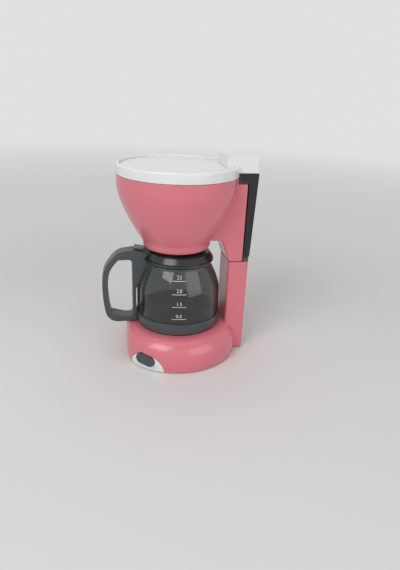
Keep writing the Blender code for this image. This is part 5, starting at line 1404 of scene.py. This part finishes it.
class MakeHoses(PieceMaker):
    """Runs the hoses and the wires"""
    bl_idname = "toy_coffee.hoses"
    bl_label = "Hoses and wires"

    def make(self, sizes, colours):
        tree = tube_tree()
        unit = Vector((0, AXIS_Y, BUTTON_Z)) + SWITCH_OUT * (sizes.base_radius - UNIT_INSET)
        spread_by = SWITCH_ALONG * UNIT_END_SPREAD
        motor_y = low("pump_motor").y - WIRE_RADIUS - GAP
        box_ends = [(x, BOX_END_Y, WIRE_Z) for x in BOX_END_X]
        motor_ends = [(x, motor_y, WIRE_Z) for x in MOTOR_END_X]
        scaled = {name: [Vector(point) * MM for point in route] for name, route in (
            ("feed_hose", FEED_ROUTE), ("rise_hose", RISE_ROUTE), ("wire_red", RED_MIDDLE),
            ("wire_blue", BLUE_MIDDLE), ("wire_black", BLACK_MIDDLE))}
        ends = {
            "wire_red": (box_ends[0], unit - spread_by),
            "wire_blue": (unit + spread_by, motor_ends[0]),
            "wire_black": (box_ends[1], motor_ends[1]),
        }
        for name, route in scaled.items():
            hose = name.endswith("hose")
            if not hose:
                first, last = ends[name]
                route = [Vector(first), *route, Vector(last)]
            points = smooth_route(route, 8)
            path = bpy.data.meshes.new(name)
            path.from_pydata(points, [(index, index + 1) for index in range(len(points) - 1)], [])
            slot_name = "clear_hose" if hose else name
            tube = grown(name, tree, path, {"Radius": HOSE_RADIUS if hose else WIRE_RADIUS,
                                            "Sides": 20 if hose else 12, "Material": LOOKS[slot_name]})
            put(tube, name + "_run", "machine", slot_name, [name], angle=50)


class MakeContacts(PieceMaker):
    """Winds the two contact springs and sets the screws"""
    bl_idname = "toy_coffee.contacts"
    bl_label = "Springs and screws"

    def make(self, sizes, colours):
        coil = coil_tree()
        for number in (1, 2):
            node = f"contact_spring_{number}"
            start, end = low(node), high(node)
            radius = (end.x - start.x) / 2
            begin = Vector((middle(node).x, start.y + SPRING_WIRE, middle(node).z))
            piece = grown(node, coil, bpy.data.meshes.new(node), {
                "Start Radius": radius - SPRING_WIRE, "End Radius": radius - SPRING_WIRE * 1.5,
                "Length": end.y - start.y - SPRING_WIRE * 2, "Turns": SPRING_TURNS, "Wire": SPRING_WIRE,
                "Place": begin, "Lean": math.radians(-90), "Material": LOOKS["steel_plate"]})
            put(piece, f"contact_coil_{number}", "machine", "steel_plate", [node], angle=50)
        screws = screw_tree()
        groups = {"cover_screw_set": [f"cover_screw_{number}" for number in (1, 2, 3)],
                  "door_screw_set": ["door_screw"]}
        for name, nodes in groups.items():
            points = bpy.data.meshes.new(name)
            points.from_pydata([(middle(node).x, middle(node).y, low(node).z) for node in nodes], [], [])
            head = COVER_HEAD_HEIGHT if len(nodes) > 1 else DOOR_HEAD_HEIGHT
            length = high(nodes[0]).z - low(nodes[0]).z - head
            piece = grown(name, screws, points, {"Head Radius": (high(nodes[0]).x - low(nodes[0]).x) / 2,
                                                 "Head Height": head, "Length": length,
                                                 "Material": LOOKS["steel_plate"]})
            put(piece, name, "machine", "steel_plate", nodes, angle=35)


class MakeFeet(PieceMaker):
    """Makes the four rubber feet"""
    bl_idname = "toy_coffee.feet"
    bl_label = "Feet"

    def make(self, sizes, colours):
        for number in range(1, 5):
            node = f"foot_{number}"
            start, end = low(node), high(node)
            radius = (end.x - start.x) / 2
            profile = soft([(0.0, end.z), (radius, end.z), (radius, start.z, FOOT_ROUND),
                            (radius * FOOT_RECESS_SHARE, start.z, FINE_ROUND),
                            (radius * 0.5, start.z + FINE_ROUND), (0.0, start.z + FINE_ROUND)], closed=False)
            foot = turned(node, profile, 48)
            foot.data.transform(Matrix.Translation((middle(node).x, middle(node).y, 0)))
            put(foot, f"rubber_foot_{number}", "machine", "rubber_pad", [node])


class MakeStage(PieceMaker):
    """Lays the floor and sets the lamps and the camera"""
    bl_idname = "toy_coffee.stage"
    bl_label = "Floor, light and camera"

    def lamp(self, name, place, size, power):
        data = bpy.data.lights.new(name, "AREA")
        data.shape = "RECTANGLE"
        data.size, data.size_y = size
        data.energy = power
        made = new_object(name, data)
        made.location = place
        made.rotation_euler = (Vector(LAMP_AIM) - Vector(place)).to_track_quat("-Z", "Y").to_euler()

    def seen_ray(self, graph):
        """1 for what the camera, a reflection or a clear piece shows; 0 for light on the object."""
        ray = graph.node("ShaderNodeLightPath").socket.node
        seen = [Wire(graph, ray.outputs[f"Is {kind} Ray"]) for kind in ("Camera", "Glossy", "Transmission")]
        return graph.node("ShaderNodeMath", {"operation": "MINIMUM"}, {0: seen[0] + seen[1] + seen[2], 1: 1.0})

    def make(self, sizes, colours):
        scene = bpy.context.scene
        scene.view_settings.view_transform = "Standard"
        look = Finish("pale_floor")
        cloud = look.noise(3.0, 2.0)
        body = look.between(cloud, toned(colours.floor, 0.97), tuple(colours.floor))
        lit = look.node("ShaderNodeBsdfPrincipled", sockets={"Base Color": body, "Roughness": 0.65})
        away = look.node("ShaderNodeVectorMath", {"operation": "LENGTH"}, {0: look.place}, 1)
        far = look.ramp(away * (1 / FLOOR_REACH), (0.045, 0.0), (0.09, 0.35), (0.30, 1.0))
        glow = look.node("ShaderNodeEmission", sockets={"Color": PALE_BACK})
        both = look.node("ShaderNodeMixShader", sockets={0: far * self.seen_ray(look), 1: lit, 2: glow})
        look.node("ShaderNodeOutputMaterial", sockets={"Surface": both})
        shape = bmesh.new()
        corners = [shape.verts.new((x * FLOOR_REACH, y * FLOOR_REACH, 0))
                   for x, y in ((-1, -1), (1, -1), (1, 1), (-1, 1))]
        shape.faces.new(corners)
        floor = from_bmesh("floor", shape, outward=False)
        floor.data.materials.append(look.material)

        world = bpy.data.worlds.new("studio")
        world.use_nodes = True
        scene.world = world
        sky = Graph(world.node_tree)
        world.node_tree.nodes.clear()
        light = sky.node("ShaderNodeBackground", sockets={"Color": (1.0, 1.0, 1.0), "Strength": WORLD_LIGHT})
        back = sky.node("ShaderNodeBackground", sockets={"Color": PALE_BACK, "Strength": 1.0})
        both = sky.node("ShaderNodeMixShader", sockets={0: self.seen_ray(sky), 1: light, 2: back})
        sky.node("ShaderNodeOutputWorld", sockets={"Surface": both})

        for name, place, size, power in LAMPS:
            self.lamp(name, place, size, power)

        data = bpy.data.cameras.new("camera")
        data.lens = CAMERA_LENS
        data.sensor_width = CAMERA_SENSOR
        data.clip_start = CAMERA_NEAR
        camera = new_object("camera", data)
        azimuth, pitch, roll = (math.radians(angle) for angle in (CAMERA_AZIMUTH, CAMERA_PITCH, CAMERA_ROLL))
        ahead = Vector((-math.sin(azimuth) * math.cos(pitch), math.cos(azimuth) * math.cos(pitch),
                        -math.sin(pitch)))
        right = Vector((math.cos(azimuth), math.sin(azimuth), 0.0))
        down = ahead.cross(right)
        side = right * math.cos(roll) - down * math.sin(roll)
        below = right * math.sin(roll) + down * math.cos(roll)
        turn = Matrix((side, -below, -ahead)).transposed().to_4x4()
        camera.matrix_world = Matrix.Translation(CAMERA_PLACE) @ turn
        scene.camera = camera


STEPS = (MakeFinishes, MakeBase, MakePlate, MakeSwitch, MakeBowl, MakeTank, MakeLid, MakeJug, MakeJugLid,
         MakeHandle, MakeMarks, MakeHoses, MakeContacts, MakeFeet, MakeStage)


class TOY_COFFEE_PT_pieces(bpy.types.Panel):
    """Lists the pieces and the sizes they are made from"""
    bl_idname = "TOY_COFFEE_PT_pieces"
    bl_label = "Toy Coffee Maker"
    bl_space_type = "VIEW_3D"
    bl_region_type = "UI"
    bl_category = "Toy Coffee Maker"

    def draw(self, context):
        for group in (context.scene.toy_coffee_sizes, context.scene.toy_coffee_colours):
            box = self.layout.box()
            for name in group.__annotations__:
                box.prop(group, name)
        for step in STEPS:
            self.layout.operator(step.bl_idname)


CLASSES = (ToySizes, ToyColours, *STEPS, TOY_COFFEE_PT_pieces)


def register():
    for item in CLASSES:
        bpy.utils.register_class(item)
    bpy.types.Scene.toy_coffee_sizes = bpy.props.PointerProperty(type=ToySizes)
    bpy.types.Scene.toy_coffee_colours = bpy.props.PointerProperty(type=ToyColours)


def unregister():
    del bpy.types.Scene.toy_coffee_colours
    del bpy.types.Scene.toy_coffee_sizes
    for item in reversed(CLASSES):
        bpy.utils.unregister_class(item)


def main():
    register()
    for step in STEPS:
        group, name = step.bl_idname.split(".")
        getattr(getattr(bpy.ops, group), name)()


if __name__ == "__main__":
    main()
